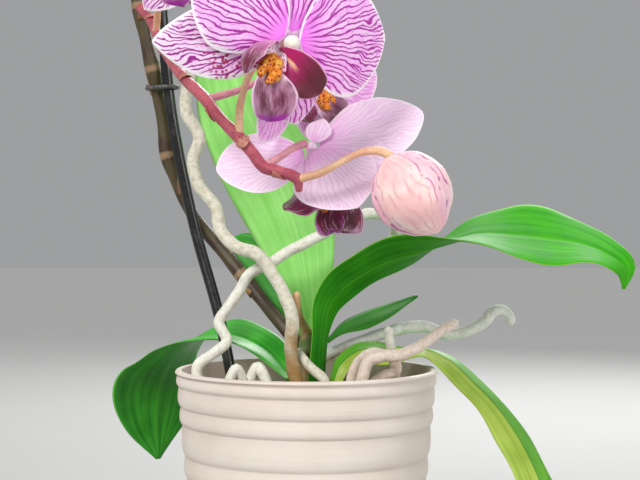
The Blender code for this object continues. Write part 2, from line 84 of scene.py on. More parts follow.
# Roots: name, radius, radius at the free end, points
ROOTS = (
    ("root_tall", 3.4, 3.0, (
        (-3, -15, 111.3), (-8, -13, 137), (-7, -12, 150), (-18, -8, 175), (-25, -8, 184),
        (-36, -4, 188), (-44, 0, 196), (-47, 3, 208), (-56, 6, 220), (-59, 8, 233),
        (-56, 10, 244), (-63, 12, 258), (-62, 14, 274), (-56, 15, 291))),
    ("root_arching", 2.9, 2.7, (
        (5, 8, 141), (10, 11, 150), (16, 15.5, 158.5), (23, 21, 166), (31, 27, 174),
        (39, 30, 183), (45, 27, 190), (47, 19, 198),
        (42, 10, 203), (33, 4, 205), (26, 2, 203), (16, 0, 200), (10, 0, 195), (2, 0, 191),
        (-10, 1, 185), (-19, 1, 179), (-30, 1, 173), (-35, 1, 164), (-41, 0, 156), (-45, 0, 149),
        (-41, -2, 139), (-48, -6, 133), (-55.5, -10, 127), (-54.5, -12, 118), (-53, -13, 111.3))),
    ("root_front", 3.0, 2.2, (
        (26, -36, 111.3), (28, -36, 124), (31, -36, 132), (37, -36, 134.5), (45, -34, 134.5),
        (54, -32, 138), (61, -30, 142), (68, -28, 147), (76, -26, 151))),
    ("root_loop", 2.5, 2.5, (
        (21, -29, 111.3), (23, -29, 124), (26, -28, 131), (31, -27, 135), (39, -24, 134.5),
        (45, -23, 130), (45, -24, 126), (39, -26, 124), (33, -27, 119), (31, -27, 111.3))),
    ("root_stub", 2.4, 2.0, ((47, -16, 111.3), (44, -17, 130), (42, -18, 142), (41, -18, 148))),
    ("root_silver", 3.2, 2.6, (
        (3, 10, 128), (16, 15, 133), (31, 19, 138), (46, 22, 143), (62, 23, 145), (76, 22, 141),
        (89, 20, 145), (95, 19, 149), (98, 18, 153), (103, 18, 154), (107, 18, 151),
        (108, 18, 146))),
    ("root_pale", 2.5, 2.5, (
        (2, 8, 131), (-4, -1, 133), (-2, -8, 131), (3, -12, 126), (9, -16, 121), (12, -18, 111.3))),
    ("root_new_tip", 2.2, 1.8, ((1, 8, 143), (-4, 1, 152), (-5, -2, 159), (-5, -3, 165))),
    ("root_hump_left", 2.6, 2.6, (
        (-38, -25, 111.3), (-38, -25, 122), (-35, -24, 127), (-32, -22, 122), (-31, -21, 111.3))),
    ("root_hump_middle", 2.9, 2.9, (
        (-29, -5, 111.3), (-28, -5, 121), (-25, -6, 126), (-21, -8, 121), (-20, -9, 111.3))),
)

# Leaves: points of the midrib with the half width, the direction to one edge, and how far each
# half rises from the midrib, in degrees
LEAVES = {
    "leaf_right": (
        (6, -1, 114, 7, -0.5, -0.85, 0, 20), (7, -2, 130, 8, -0.55, -0.8, 0, 20),
        (8.5, -3, 146, 8, -0.6, -0.75, 0.1, 20), (11, -4, 157, 9, -0.68, -0.67, 0.3, 18),
        (18.5, -6, 167, 12, -0.6, -0.63, 0.48, 17), (29.5, -8, 175, 15, -0.44, -0.74, 0.5, 16),
        (42.5, -10, 181.5, 18, -0.27, -0.84, 0.46, 16), (54.5, -11, 185, 20, -0.14, -0.93, 0.35, 16),
        (71, -12, 190, 22, -0.02, -1, 0.05, 16), (86, -13, 194, 25, 0, -0.96, -0.27, 14),
        (106, -14, 193.5, 28, 0, -0.88, -0.47, 12), (124, -14, 191.5, 28, -0.1, -0.86, -0.5, 12),
        (139, -14, 189, 24, -0.18, -0.88, -0.43, 12), (152, -14, 184, 18, -0.31, -0.88, -0.35, 12),
        (161, -14, 177, 10, -0.61, -0.77, -0.19, 10), (161, -14, 166.5, 1.5, -0.61, -0.77, -0.19, 5)),
    "leaf_tall": (
        (2, 20, 132, 8, 1, 0, 0, 30), (2, 21, 146, 9, 1, 0, 0, 30), (0, 25, 165, 14, 1, 0, 0, 25),
        (-4, 31, 188, 21, 1, -0.1, 0.1, 22), (-11, 38, 210, 26, 1, -0.1, 0.1, 20),
        (-24, 48, 240, 28, 1, -0.1, 0.2, 16), (-37, 55, 271, 25, 1, -0.1, 0.2, 14),
        (-46, 59, 296, 15, 1, -0.1, 0.2, 12), (-51, 61, 312, 1.5, 1, -0.1, 0.2, 5)),
    "leaf_left": (
        (-6, 14, 117, 7, 0.73, 0.66, 0.2, 25), (-21, 28, 131, 11, 0.73, 0.66, 0.25, 20),
        (-38, 44, 138, 16, 0.73, 0.66, 0.25, 15), (-56, 60, 137, 21, 0.73, 0.64, 0.25, 10),
        (-71, 72, 130, 26, 0.73, 0.64, 0.3, 6), (-81, 79, 118, 28, 0.75, 0.6, 0.3, 5),
        (-86, 81, 103, 27, 0.8, 0.5, 0.15, 5), (-87, 80, 86, 19, 0.85, 0.4, 0, 5),
        (-85, 78, 66, 1.5, 0.9, 0.3, 0, 5)),
    "leaf_lower_right": (
        (14, -8, 117, 4, -0.3, 0.5, 0.8, 10), (18, -6, 127, 6, -0.2, 0.6, 0.7, 12),
        (27, -1, 133.5, 8, -0.1, 0.8, 0.55, 14), (38, 4, 134, 10, 0, 0.85, 0.5, 14),
        (49, 8, 134, 12, 0.1, 0.95, 0.2, 12), (60, 12, 133.5, 12, 0.15, 0.97, 0.1, 10),
        (73, 14, 128, 12.5, 0.22, 0.95, 0.2, 10), (86, 14, 116.5, 13, 0.31, 0.89, 0.33, 10),
        (97, 12, 105.5, 14, 0.36, 0.87, 0.33, 10), (107, 10, 92, 15, 0.42, 0.85, 0.3, 12),
        (114.5, 7, 79, 15.5, 0.52, 0.8, 0.27, 12), (121.5, 4, 63, 15, 0.62, 0.73, 0.27, 12),
        (128, 1, 46, 13, 0.65, 0.7, 0.25, 12), (133, -1, 31, 9, 0.66, 0.7, 0.22, 10),
        (136, -3, 17, 1.5, 0.66, 0.7, 0.22, 5)),
    "leaf_narrow": (
        (10.5, 11, 137.5, 3, 0, 0.95, 0.3, 10), (17, 14, 144, 7, 0, 0.95, 0.3, 14),
        (31, 20, 151, 11, 0, 0.95, 0.3, 18), (45, 26, 156, 9, 0, 0.95, 0.3, 15),
        (59, 30, 161, 1.2, 0, 0.95, 0.3, 5)),
    "leaf_behind": (
        (-4, 28, 138, 6, 0.7, 0, 0.7, 15), (-8, 34, 156, 10, 0.7, 0, 0.7, 15),
        (-18, 42, 170, 12, 0.6, 0.1, 0.8, 15), (-28, 48, 181, 12, 0.5, 0.1, 0.85, 12),
        (-38, 53, 187, 8, 0.4, 0.1, 0.9, 10), (-44, 56, 189, 1.5, 0.4, 0.1, 0.9, 5)),
}

# Flower stalks: points with a radius
SPIKE = (
    (-1, 11, 130, 3.6), (-10, 14, 143, 3.6), (-17, 20, 151, 3.5), (-24, 26, 159, 3.5),
    (-35, 34, 172, 4.1), (-44, 39, 183, 3.7), (-54, 43, 194, 3.5), (-62, 45, 204, 3.4),
    (-72, 46, 225, 3.6), (-76, 46, 237, 4.4), (-78, 46, 252, 3.6), (-82, 45, 273, 3.5),
    (-84, 44, 284, 4.4), (-87, 43, 297, 3.4), (-91, 42, 318, 4.2), (-93, 42, 332, 3.0),
    (-95, 42, 343, 2.4))
BRANCH = (
    (-91, 42, 317, 2.6), (-83, 20, 308, 2.6), (-75, -10, 294, 2.6), (-66, -45, 280, 2.6),
    (-55, -80, 266, 2.6), (-44, -105, 255, 2.8), (-36, -116, 245, 2.5), (-28, -122, 237, 2.9),
    (-22, -125, 230, 2.5), (-17, -126, 224, 2.7), (-10, -127, 222, 2.4), (-3, -127, 219, 2.5),
    (-2, -124, 214, 1.5))
PEDICELS = {
    "pedicel_front": ((-28, -122, 238), (-28, -123, 247), (-26, -125, 257), (-22, -129, 266),
                      (-14, -134, 273), (-7, -139, 276)),
    "pedicel_middle": ((-43, -106, 255), (-37, -102, 257), (-29, -96, 260), (-20, -88, 265),
                       (-12, -80, 269), (-6.9, -77.6, 268.8)),
    "pedicel_back": ((-16, -126, 225), (-10, -120, 229), (-5, -110, 233), (0, -99, 235.5)),
    "pedicel_bud": ((-2, -127, 219), (6, -130, 221), (16, -131, 226), (24, -131, 230),
                    (30, -130, 231), (34, -129, 230.4)),
    "pedicel_upper": ((-77, -3, 297), (-75, -14, 307), (-72, -28, 316), (-67, -42, 324),
                      (-59, -55, 331), (-52, -65, 334)),
}
PEDICEL_RADIUS = 1.7
STEM_ROWS = 400  # rows of a stem's curve in which a place on it is looked up
KNOT_RADIUS = 4.05  # the spike is thicker than this only at its nodes

STAKE = (
    (-30, 12, 60, 3.0), (-46.5, 24, 150, 3.0), (-60, 34, 196, 3.0), (-73, 39, 258, 3.0),
    (-81, 40, 356, 3.0))
CLIP_HEIGHT = 273.0
CLIP_WIRE = 1.1
STEM_REACH = 3.7  # from the axis of the spike or the stake to its surface where the clip holds it

# Bud: points along its axis with a radius
BUD = (
    (36.5, -128, 228.5, 3.0), (38.5, -128, 225.5, 10), (42, -128, 220, 15.2),
    (46.5, -128, 213, 17.4), (50.5, -128, 207, 16), (54, -128, 201.5, 11.5), (56.5, -128, 197.8, 6),
    (57.8, -128, 195.6, 1.5))

# Flowers: the centre, the direction each faces, the direction of its back sepal, how much its tepals
# bow forward (per mm), and for each tepal its angle round the flower, length, width and height
# above the sepals' plane. lip is the angle that the lip hangs at, and how much it turns towards its
# tip. lip_faces is the column's direction where it isn't the flower's.
FLOWERS = {
    "front": {
        "centre": (-6, -143, 276), "faces": (0.42, -0.90, -0.12), "up": (0.0, 0.0, 1.0),
        "bow": -0.0045, "low_bow": -0.010,
        "sepal_top": (78, 48, 30, 0.0), "sepal_left": (183, 55, 30, 0.0),
        "sepal_right": (292, 38, 28, 0.0), "petal_left": (146, 48, 42, 2.4),
        "petal_right": (5, 49, 49, 2.4), "lip": (225, 33), "lip_size": 1.0,
        "lip_faces": (0.20, -0.95, -0.15)},
    "middle": {
        "centre": (-4, -80, 268), "faces": (0.75, -0.63, -0.20), "up": (0.0, 0.0, 1.0),
        "bow": 0.004, "low_bow": 0.0,
        "sepal_top": (95, 42, 28, 0.0), "sepal_left": (230, 40, 24, 0.0),
        "sepal_right": (310, 38, 24, 0.0), "petal_left": (165, 34, 36, 2.4),
        "petal_right": (0, 46, 44, 2.4), "lip": (325, 0), "lip_size": 0.85},
    "back": {
        "centre": (3, -93, 234), "faces": (0.12, 0.80, -0.58), "up": (0.1, 0.3, 1.0),
        "bow": -0.002, "low_bow": 0.0,
        "sepal_top": (102, 17, 11, 0.0), "sepal_left": (234, 46, 38, -2.6),
        "sepal_right": (195, 40, 26, 0.0), "petal_left": (158, 53, 38, 2.4),
        "petal_right": (-21, 44, 34, 2.4), "lip": (250, 0), "lip_size": 1.15},
    "upper": {
        "centre": (-49, -68, 334), "faces": (-0.35, -0.90, 0.0), "up": (0.0, 0.0, 1.0),
        "bow": -0.004, "low_bow": 0.0,
        "sepal_top": (90, 46, 30, 0.0), "sepal_left": (222, 46, 28, 0.0),
        "sepal_right": (318, 46, 28, 0.0), "petal_left": (165, 44, 44, 2.4),
        "petal_right": (15, 44, 44, 2.4), "lip": (270, 0), "lip_size": 1.0},
}
# The column: forward, down and radius
COLUMN = ((-2.2, 0, 2.2), (0, 0, 2.7), (3, -0.2, 2.6), (6, -0.2, 2.9), (9, 0.8, 3.2), (10.8, 1.6, 2.0))


# ---------------------------------------------------------------- curves and surfaces


def flow(stations, count):
    """count rows, evenly spaced along a smooth curve through the stations' first three values."""
    rows = np.array(stations, float)
    steps = np.linalg.norm(np.diff(rows[:, :3], axis=0), axis=1)
    knots = np.concatenate([[0.0], np.cumsum(steps)])
    slopes = np.gradient(rows, knots, axis=0)
    at = np.linspace(0.0, knots[-1], count)
    low = np.clip(np.searchsorted(knots, at, side="right") - 1, 0, len(rows) - 2)
    span = (knots[low + 1] - knots[low])[:, None]
    t = (at - knots[low])[:, None] / span
    return (
        (2 * t**3 - 3 * t**2 + 1) * rows[low]
        + (t**3 - 2 * t**2 + t) * span * slopes[low]
        + (3 * t**2 - 2 * t**3) * rows[low + 1]
        + (t**3 - t**2) * span * slopes[low + 1]
    )


def length_of(stations):
    rows = np.array(stations, float)[:, :3]
    return float(np.linalg.norm(np.diff(rows, axis=0), axis=1).sum())


def unit(rows):
    return rows / np.maximum(np.linalg.norm(rows, axis=-1, keepdims=True), 1e-9)


def smooth_step(low, high, values):
    t = np.clip((values - low) / (high - low), 0.0, 1.0)
    return t * t * (3 - 2 * t)


def wave(points, size, seed=0.0):
    """Smooth noise, about -1 to 1, at each point, with features about size across."""
    flat = np.asarray(points, float).reshape(-1, 3) / size + seed * 7.3
    return np.array([noise.noise(Vector(p)) for p in flat]).reshape(np.asarray(points).shape[:-1])


def mesh_object(name, vertices, faces, marks, made_of, slot, node):
    """A smooth mesh from points in mm. marks are vectors for the material to read, one per vertex."""
    mesh = bpy.data.meshes.new(name)
    mesh.from_pydata((np.asarray(vertices) * MM).tolist(), [], faces)
    for key, values in marks.items():
        attribute = mesh.attributes.new(key, "FLOAT_VECTOR", "POINT")
        attribute.data.foreach_set("vector", np.asarray(values, np.float32).reshape(-1))
    mesh.shade_smooth()
    mesh.materials.append(made_of)
    obj = bpy.data.objects.new(name, mesh)
    bpy.context.scene.collection.objects.link(obj)
    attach(obj, BODY)
    if node:
        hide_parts(node)
    return obj


def ring_faces(rows, sides, ends=True):
    """Quads that join rows of closed rings, with a face over each end."""
    faces = []
    for i in range(rows - 1):
        for j in range(sides):
            k = (j + 1) % sides
            a, b = i * sides, (i + 1) * sides
            faces.append((a + j, b + j, b + k, a + k))
    if ends:
        faces.append(tuple(range(sides)))
        last = (rows - 1) * sides
        faces.append(tuple(last + j for j in reversed(range(sides))))
    return faces


def outward(faces, vertices):
    """The faces, turned round if they make a solid that is inside out."""
    points = np.asarray(vertices)
    volume = 0.0
    for face in faces:
        a = points[face[0]]
        for i in range(1, len(face) - 1):
            volume += np.dot(a, np.cross(points[face[i]], points[face[i + 1]]))
    return faces if volume > 0 else [tuple(reversed(face)) for face in faces]


def ring_body(rings):
    """The points and faces of a closed body from rows of rings."""
    vertices = rings.reshape(-1, 3)
    return vertices, outward(ring_faces(len(rings), rings.shape[1]), vertices)


def ring_object(name, rings, marks, made_of, slot, node=None):
    """A closed body from rows of rings, with marks of the same rows."""
    flat = {key: values.reshape(-1, 3) for key, values in marks.items()}
    return mesh_object(name, *ring_body(rings), flat, made_of, slot, node)


def joined_object(name, bodies, key, made_of, slot):
    """Several closed bodies, each its points, faces and marks, as one piece."""
    points, faces, marks, start = [], [], [], 0
    for vertices, own, mark in bodies:
        points.append(vertices)
        faces += [tuple(start + i for i in face) for face in own]
        marks.append(mark.reshape(-1, 3))
        start += len(vertices)
    mesh_object(name, np.concatenate(points), faces, {key: np.concatenate(marks)}, made_of, slot, None)


def tube_rings(stations, sides, spacing, lumps=0.0, lump_size=6.0, seed=0.0, round_end=False):
    """(rings, marks) of a stem: marks are millimetres along, share of the length, and share of a turn."""
    count = max(6, round(length_of(stations) / spacing))
    rows = flow(stations, count)
    centres, radii = rows[:, :3], rows[:, 3].copy()
    tangents = unit(np.gradient(centres, axis=0))
    across = unit(np.cross(tangents[0], [0.31, 0.52, 0.79]))
    turns = np.linspace(0, 2 * math.pi, sides, endpoint=False)
    along = np.concatenate([[0], np.cumsum(np.linalg.norm(np.diff(centres, axis=0), axis=1))])
    if round_end:
        left = np.clip((along[-1] - along) / radii[-1], 0.0, 1.0)
        radii *= np.sqrt(np.clip(1 - (1 - left) ** 2, 0.01, 1.0))
    rings = np.empty((count, sides, 3))
    for i in range(count):
        across = unit(across - tangents[i] * np.dot(across, tangents[i]))
        other = np.cross(tangents[i], across)
        spokes = np.outer(np.cos(turns), across) + np.outer(np.sin(turns), other)
        rings[i] = centres[i] + spokes * radii[i]
    if lumps:
        swell = wave(rings, lump_size, seed) * lumps + wave(rings, lump_size / 3, seed + 5) * lumps * 0.4
        rings += (rings - centres[:, None, :]) * swell[..., None]
    marks = np.empty((count, sides, 3))
    marks[..., 0] = along[:, None]
    marks[..., 1] = (along / along[-1])[:, None]
    marks[..., 2] = (turns / (2 * math.pi))[None, :]
    return rings, marks


def tube(name, stations, made_of, slot, node=None, sides=20, spacing=1.3, **shape):
    rings, marks = tube_rings(stations, sides, spacing, **shape)
    return ring_object(name, rings, {"stem": marks}, made_of, slot, node)


def sheet_rings(middle, upper, u, half_thickness):
    """Closed rings round a thin sheet, and the side of it, 1 or -1, that each point is on."""
    half = half_thickness * (1 - np.abs(u) ** 8)
    top = middle + upper * half[..., None]
    bottom = middle - upper * half[..., None]
    rings = np.concatenate([top, bottom[:, -2:0:-1]], axis=1)
    back_u = u[:, -2:0:-1]
    sides = np.concatenate([np.ones_like(u), -np.ones_like(back_u)], axis=1)
    return rings, sides


def wrap(values):
    """Values across a sheet, repeated round its rings."""
    return np.concatenate([values, values[:, -2:0:-1]], axis=1)


def surface_normals(grid):
    """The direction that each point of a grid of points faces."""
    along = np.gradient(grid, axis=0)
    across = np.gradient(grid, axis=1)
    return unit(np.cross(across, along))


def sheet_object(name, grid, u, v, extra, thickness, made_of, slot, node, flip=False):
    """A thin closed sheet over a grid of points. Its blade mark holds u, v and the side of the sheet."""
    upper = surface_normals(grid)
    if flip:
        upper = -upper
    rings, sides = sheet_rings(grid, upper, u, thickness / 2)
    marks = {"blade": np.stack([wrap(u), wrap(v), sides], axis=-1)}
    if extra is not None:
        marks["petal"] = np.stack([wrap(e) for e in extra], axis=-1)
    return ring_object(name, rings, marks, made_of, slot, node)


def blade_grid(
        stations, rows_count, columns, ripple=0.0, ripple_length=30.0, groove=0.0, seed=0.0, rise_by=1.0):
    """The middle surface of a leaf or a lobe of a lip, with its u across and v along."""
    rows = flow(stations, rows_count)
    centres = rows[:, :3]
    tangents = unit(np.gradient(centres, axis=0))
    sides = rows[:, 4:7]
    sides = unit(sides - tangents * np.sum(sides * tangents, axis=1, keepdims=True))
    uppers = unit(np.cross(sides, tangents))
    half = np.maximum(rows[:, 3], 0.15)[:, None]
    rise = np.radians(rows[:, 7])[:, None] * rise_by
    u = np.tile(np.linspace(-1, 1, columns), (rows_count, 1))
    v = np.tile(np.linspace(0, 1, rows_count)[:, None], (1, columns))
    along = v * length_of(stations)
    lift = np.abs(u) ** 1.4 * half * np.sin(rise)
    lift += ripple * np.abs(u) ** 3 * np.sin(2 * math.pi * along / ripple_length + seed + 1.3 * np.sign(u))
    lift -= groove * np.exp(-((u * half / 1.6) ** 2))
    grid = (
        centres[:, None, :]
        + sides[:, None, :] * (u * half * np.cos(rise))[..., None]
        + uppers[:, None, :] * lift[..., None]
    )
    return grid, u, v


# ---------------------------------------------------------------- materials


def tint(code):
    """A linear colour from its six-figure sRGB code."""
    values = [int(code[k:k + 2], 16) / 255 for k in (0, 2, 4)]
    return tuple(v / 12.92 if v <= 0.04045 else ((v + 0.055) / 1.055) ** 2.4 for v in values)


class Field:
    """A number, vector or colour that a node gives out. Arithmetic on it adds Math nodes."""

    def __init__(self, shader, socket):
        self.shader = shader
        self.socket = socket

    def __add__(self, other):
        return self.shader.math("ADD", self, other)

    def __radd__(self, other):
        return self.shader.math("ADD", other, self)

    def __sub__(self, other):
        return self.shader.math("SUBTRACT", self, other)

    def __rsub__(self, other):
        return self.shader.math("SUBTRACT", other, self)

    def __mul__(self, other):
        return self.shader.math("MULTIPLY", self, other)

    def __rmul__(self, other):
        return self.shader.math("MULTIPLY", other, self)

    def __truediv__(self, other):
        return self.shader.math("DIVIDE", self, other)

    def __pow__(self, other):
        return self.shader.math("POWER", self, other)

    def __abs__(self):
        return self.shader.math("ABSOLUTE", self)


class Shader:
    """A Principled material that is being put together from nodes. Colours may be given as sRGB codes."""

    def __init__(self, name, roughness=0.5):
        self.made = bpy.data.materials.new(name)
        self.made.use_nodes = True
        self.tree = self.made.node_tree
        self.bsdf = self.tree.nodes["Principled BSDF"]
        self.bsdf.inputs["Roughness"].default_value = roughness

    def put(self, socket, value):
        if isinstance(value, Field):
            self.tree.links.new(value.socket, socket)
        elif value is not None:
            value = tint(value) if isinstance(value, str) else value
            colour = isinstance(value, tuple) and len(socket.default_value) == 4
            socket.default_value = (*value, 1.0) if colour else value

    def node(self, kind, *values, **settings):
        made = self.tree.nodes.new("ShaderNode" + kind)
        for key, value in settings.items():
            setattr(made, key, value)
        for socket, value in zip(made.inputs, values):
            self.put(socket, value)
        return made

    def field(self, output, kind, *values, **settings):
        return Field(self, self.node(kind, *values, **settings).outputs[output])

    def set(self, name, value):
        self.put(self.bsdf.inputs[name], value)

    def flesh(self, weight, scale, radius=None):
        """Light that sinks in: scale is how far, in metres, and radius the share of it by colour."""
        self.set("Subsurface Weight", weight)
        self.set("Subsurface Scale", scale)
        self.set("Subsurface Radius", radius)

    def math(self, operation, *values):
        return self.field(0, "Math", *values, operation=operation)

    def mix(self, factor, first, second):
        made = self.node("Mix", factor, data_type="RGBA")
        self.put(made.inputs[6], first)
        self.put(made.inputs[7], second)
        return Field(self, made.outputs[2])

    def within(self, value, low, high, to_low=0.0, to_high=1.0):
        """value taken smoothly from low..high to to_low..to_high."""
        return self.field(0, "MapRange", value, low, high, to_low, to_high, interpolation_type="SMOOTHSTEP")

    def mark(self, name):
        """The three numbers of a vector stored on the mesh."""
        split = self.node("SeparateXYZ", self.field("Vector", "Attribute", attribute_name=name))
        return [Field(self, output) for output in split.outputs]

    def vector(self, x, y, z=0.0):
        return self.field(0, "CombineXYZ", x, y, z)

    def place(self):
        return self.field("Object", "TexCoord")

    def noise(self, vector, scale, detail=3.0, roughness=0.55):
        return self.field("Fac", "TexNoise", vector, None, scale, detail, roughness)

    def cells(self, vector, scale, randomness=1.0):
        made = self.node("TexVoronoi", vector)
        self.put(made.inputs["Scale"], scale)
        self.put(made.inputs["Randomness"], randomness)
        return Field(self, made.outputs["Distance"])

    def bump(self, height, strength, distance):
        made = self.node("Bump", strength, distance)
        self.put(made.inputs["Height"], height)
        self.set("Normal", Field(self, made.outputs[0]))

    def colour(self, value):
        self.set("Base Color", value)


def leaf_material(name, deep, bright, under, edge, rib, gloss=0.44, half=None, shine=0.35):
    """Waxy leaf: long fine veins, a midrib and edge of their own tint, soft blotches and an underside.

    half gives the two lighter greens of painted light on the blade's half where u is below 0, where they
    differ from the rest.
    """
    s = Shader(name, gloss)
    u, v, side = s.mark("blade")
    far = abs(u)
    blotch = s.noise(s.place(), 55.0, 4.0)
    grain = s.noise(s.vector(u * 26.0, v * 3.0), 1.0, 5.0, 0.65)
    streak = s.noise(s.vector(u * 7.0, v * 1.6), 1.0, 2.0)
    shade = blotch * 0.45 + streak * 0.6
    green = s.mix(s.within(shade, 0.34, 0.74), deep, bright)
    green = s.mix(s.within(grain, 0.45, 0.75) * 0.14, green, bright)
    # painted light: one half of the blade gets lighter greens, as if that half faced the light
    if half:
        painted_light_half = s.mix(s.within(shade, 0.38, 0.68), *half)
        green = s.mix(s.within(u, 0.02, -0.10), green, painted_light_half)
    green = s.mix(s.within(far, 0.08, 0.0) * 0.40, green, rib)
    back = s.mix(s.within(shade, 0.35, 0.7), under, s.mix(0.5, under, bright))
    back = s.mix(s.within(far, 0.07, 0.0) * 0.35, back, rib)
    both = s.mix(s.within(side, -0.2, 0.2), back, green)
    s.colour(s.mix(s.within(far, 0.95, 1.0) * 0.7, both, edge))
    fine = s.noise(s.place(), 900.0, 2.0)
    height = grain * 0.8 + fine * 0.25
    s.bump(height, 0.22, 0.0004)
    s.set("Roughness", s.within(blotch, 0.3, 0.7, gloss - 0.05, gloss + 0.10))
    s.set("Specular IOR Level", shine)
    s.flesh(0.12, 0.002, (0.4, 1.0, 0.15))
    return s.made


def petal_material(name, heart, ground, margin, vein, boldness, back_ground, back_vein, spots=0.0):
    """Petal tissue: branching veins that fan out from the base, a pale margin, and a fainter back."""
    s = Shader(name, 0.48)
    _, share, side = s.mark("blade")
    across, along, edge = s.mark("petal")
    reach = along + 7.0
    fan = s.math("ARCTAN2", across, reach)
    distance = s.math("SQRT", across ** 2.0 + reach ** 2.0)
    depth = s.math("LOGARITHM", distance, math.e)
    plane = s.vector(across, along)
    bend = (s.noise(plane, 0.075, 1.0) - 0.5) * 0.24
    shiver = (s.noise(plane, 0.40, 1.0) - 0.5) * 0.035
    angle = fan + bend + shiver

    def strands(crowd, thick, first, later, seed):
        """Veins a fixed angle apart. Each one forks at first mm or more, and its forks again after later.

        A fork leaves its vein and swings to the middle of the gap beside it.
        """
        turned = angle * crowd + seed
        index = s.math("FLOOR", turned)
        share = s.math("FRACT", turned)
        chance = s.field("Value", "TexWhiteNoise", None, index, noise_dimensions="1D")
        birth = chance * (0.55 * first) + first
        again = chance * (0.5 * later) + later
        swing = s.within(distance, birth, birth * 1.7, 0.0, 0.5)
        half_swing = s.within(distance, again, again * 1.35, 0.0, 0.25)
        width = distance / crowd

        def line(at, starts, size):
            off = abs(share - at) * width
            drawn = s.within(off, size, size * 0.45)
            if starts is None:
                return drawn
            return drawn * s.math("GREATER_THAN", distance, starts)

        found = s.math("MAXIMUM", line(0.0, None, thick), line(1.0, None, thick))
        found = s.math("MAXIMUM", found, line(swing, birth, thick * 0.9))
        found = s.math("MAXIMUM", found, line(half_swing, again, thick * 0.7))
        return s.math("MAXIMUM", found, line(1.0 - half_swing, again, thick * 0.7))

    main = strands(crowd=7.0, thick=0.50, first=14.0, later=30.0, seed=0.3)
    dashes = s.noise(s.vector(angle * 34.0, depth * 9.0), 1.0, 2.0)
    dashes = s.within(dashes, 0.60, 0.66) * 0.4
    veins = s.math("MAXIMUM", main, dashes)
    rim = s.within(edge, 0.7, 1.9)
    veins = veins * rim
    veins = veins * s.within(distance, 10.0, 16.0)
    front = s.mix(s.within(share, 0.0, 0.45), heart, ground)
    blush = s.within(s.noise(plane, 0.12, 2.0), 0.42, 0.62) * 0.35
    front = s.mix(blush, front, heart)
    front = s.mix(s.within(edge, 3.2, 0.8), front, margin)
    front = s.mix(veins * boldness, front, vein)
    if spots:
        dots = s.within(s.cells(plane, 0.50, 0.9), 0.46, 0.34)
        where = s.within(share, 0.66, 0.50) * s.within(share, 0.04, 0.14)
        front = s.mix(dots * where * spots, front, (0.36, 0.0, 0.07))
    faint = main * rim
    back = s.mix(s.within(share, 0.45, 0.0), back_ground, s.mix(0.5, back_ground, heart))
    back = s.mix(faint * 0.22, back, back_vein)
    back = s.mix(s.within(edge, 1.4, 0.4), back, margin)
    s.colour(s.mix(s.within(side, -0.2, 0.2), back, front))
    ribs = s.math("SINE", fan * 52.0)
    height = ribs * 0.25 - main * 0.5
    s.bump(height + s.noise(plane, 1.6, 3.0) * 0.5, 0.35, 0.0005)
    s.flesh(0.3, 0.003, (1.0, 0.55, 0.85))
    s.set("Sheen Weight", 0.25)
    s.set("Sheen Roughness", 0.4)
    return s.made


def lip_finish(s, height):
    """The fine relief and soft sheen that all parts of the lip share."""
    s.bump(height, 0.3, 0.0004)
    s.set("Sheen Weight", 0.3)
    s.flesh(0.1, 0.002)
    return s.made


def lobe_material():
    """A side lobe: magenta to maroon inside with a cream stripe at its foot, mauve outside, pale edge."""
    s = Shader("lip_lobe", 0.36)
    u, v, side = s.mark("blade")
    far = abs(u)
    lines = s.noise(s.vector(u * 9.0, v * 2.5), 1.0, 3.0)
    depth = v + (lines - 0.5) * 0.5
    inner = s.mix(s.within(depth, 0.25, 0.75), "b8106c", "640524")
    inner = s.mix(s.within(lines, 0.52, 0.66) * 0.35, inner, "8c0838")
    stripe = abs(u + (lines - 0.5) * 0.5)
    stripe = s.within(stripe, 0.16, 0.06) * s.within(v, 0.52, 0.34)
    inner = s.mix(stripe, inner, "f0b890")
    outer = s.mix(s.within(depth, 0.2, 0.8), "d27ab4", "6c1038")
    outer = s.mix(s.within(lines, 0.55, 0.62) * 0.6, outer, "f0c4e0")
    both = s.mix(s.within(side, -0.2, 0.2), outer, inner)
    s.colour(s.mix(s.within(far, 0.90, 0.98) * 0.9, both, "f0b0d8"))
    return lip_finish(s, lines)


def middle_lobe_material():
    """The lip's blade: greyish mauve inside with a magenta tip, streaked maroon outside, pale edge."""
    s = Shader("lip_blade", 0.34)
    u, v, side = s.mark("blade")
    far = abs(u)
    lines = s.noise(s.vector(u * 12.0, v * 2.0), 1.0, 3.0)
    cloud = s.noise(s.vector(u, v), 2.6, 3.0)
    inner = s.mix(s.within(cloud, 0.36, 0.64), "6a1a3c", "b07a98")
    inner = s.mix(s.within(v, 0.34, 0.05), inner, "f6dcf0")
    inner = s.mix(s.within(lines, 0.54, 0.66) * 0.35, inner, "e0b4d0")
    tipped = v + far * 0.12
    inner = s.mix(s.within(tipped, 0.82, 0.95), inner, "9a1496")
    outer = s.mix(s.within(cloud, 0.3, 0.7), "4a0620", "7c1440")
    outer = s.mix(s.within(lines, 0.56, 0.62) * 0.75, outer, "e8bcd8")
    both = s.mix(s.within(side, -0.2, 0.2), outer, inner)
    s.colour(s.mix(s.within(far, 0.88, 0.97) * 0.9, both, "f2c4e4"))
    return lip_finish(s, lines)


def throat_material():
    """The lip's foot: white with rows of magenta spots."""
    s = Shader("lip_throat", 0.4)
    u, v, _ = s.mark("blade")
    plane = s.vector(u * 6.0, v * 14.0)
    dots = s.within(s.cells(plane, 0.9, 0.8), 0.44, 0.30)
    white = s.mix(s.within(v, 0.3, 1.0), "fbeaf8", "eeb8e0")
    s.colour(s.mix(dots, white, "9a1060"))
    return lip_finish(s, dots)


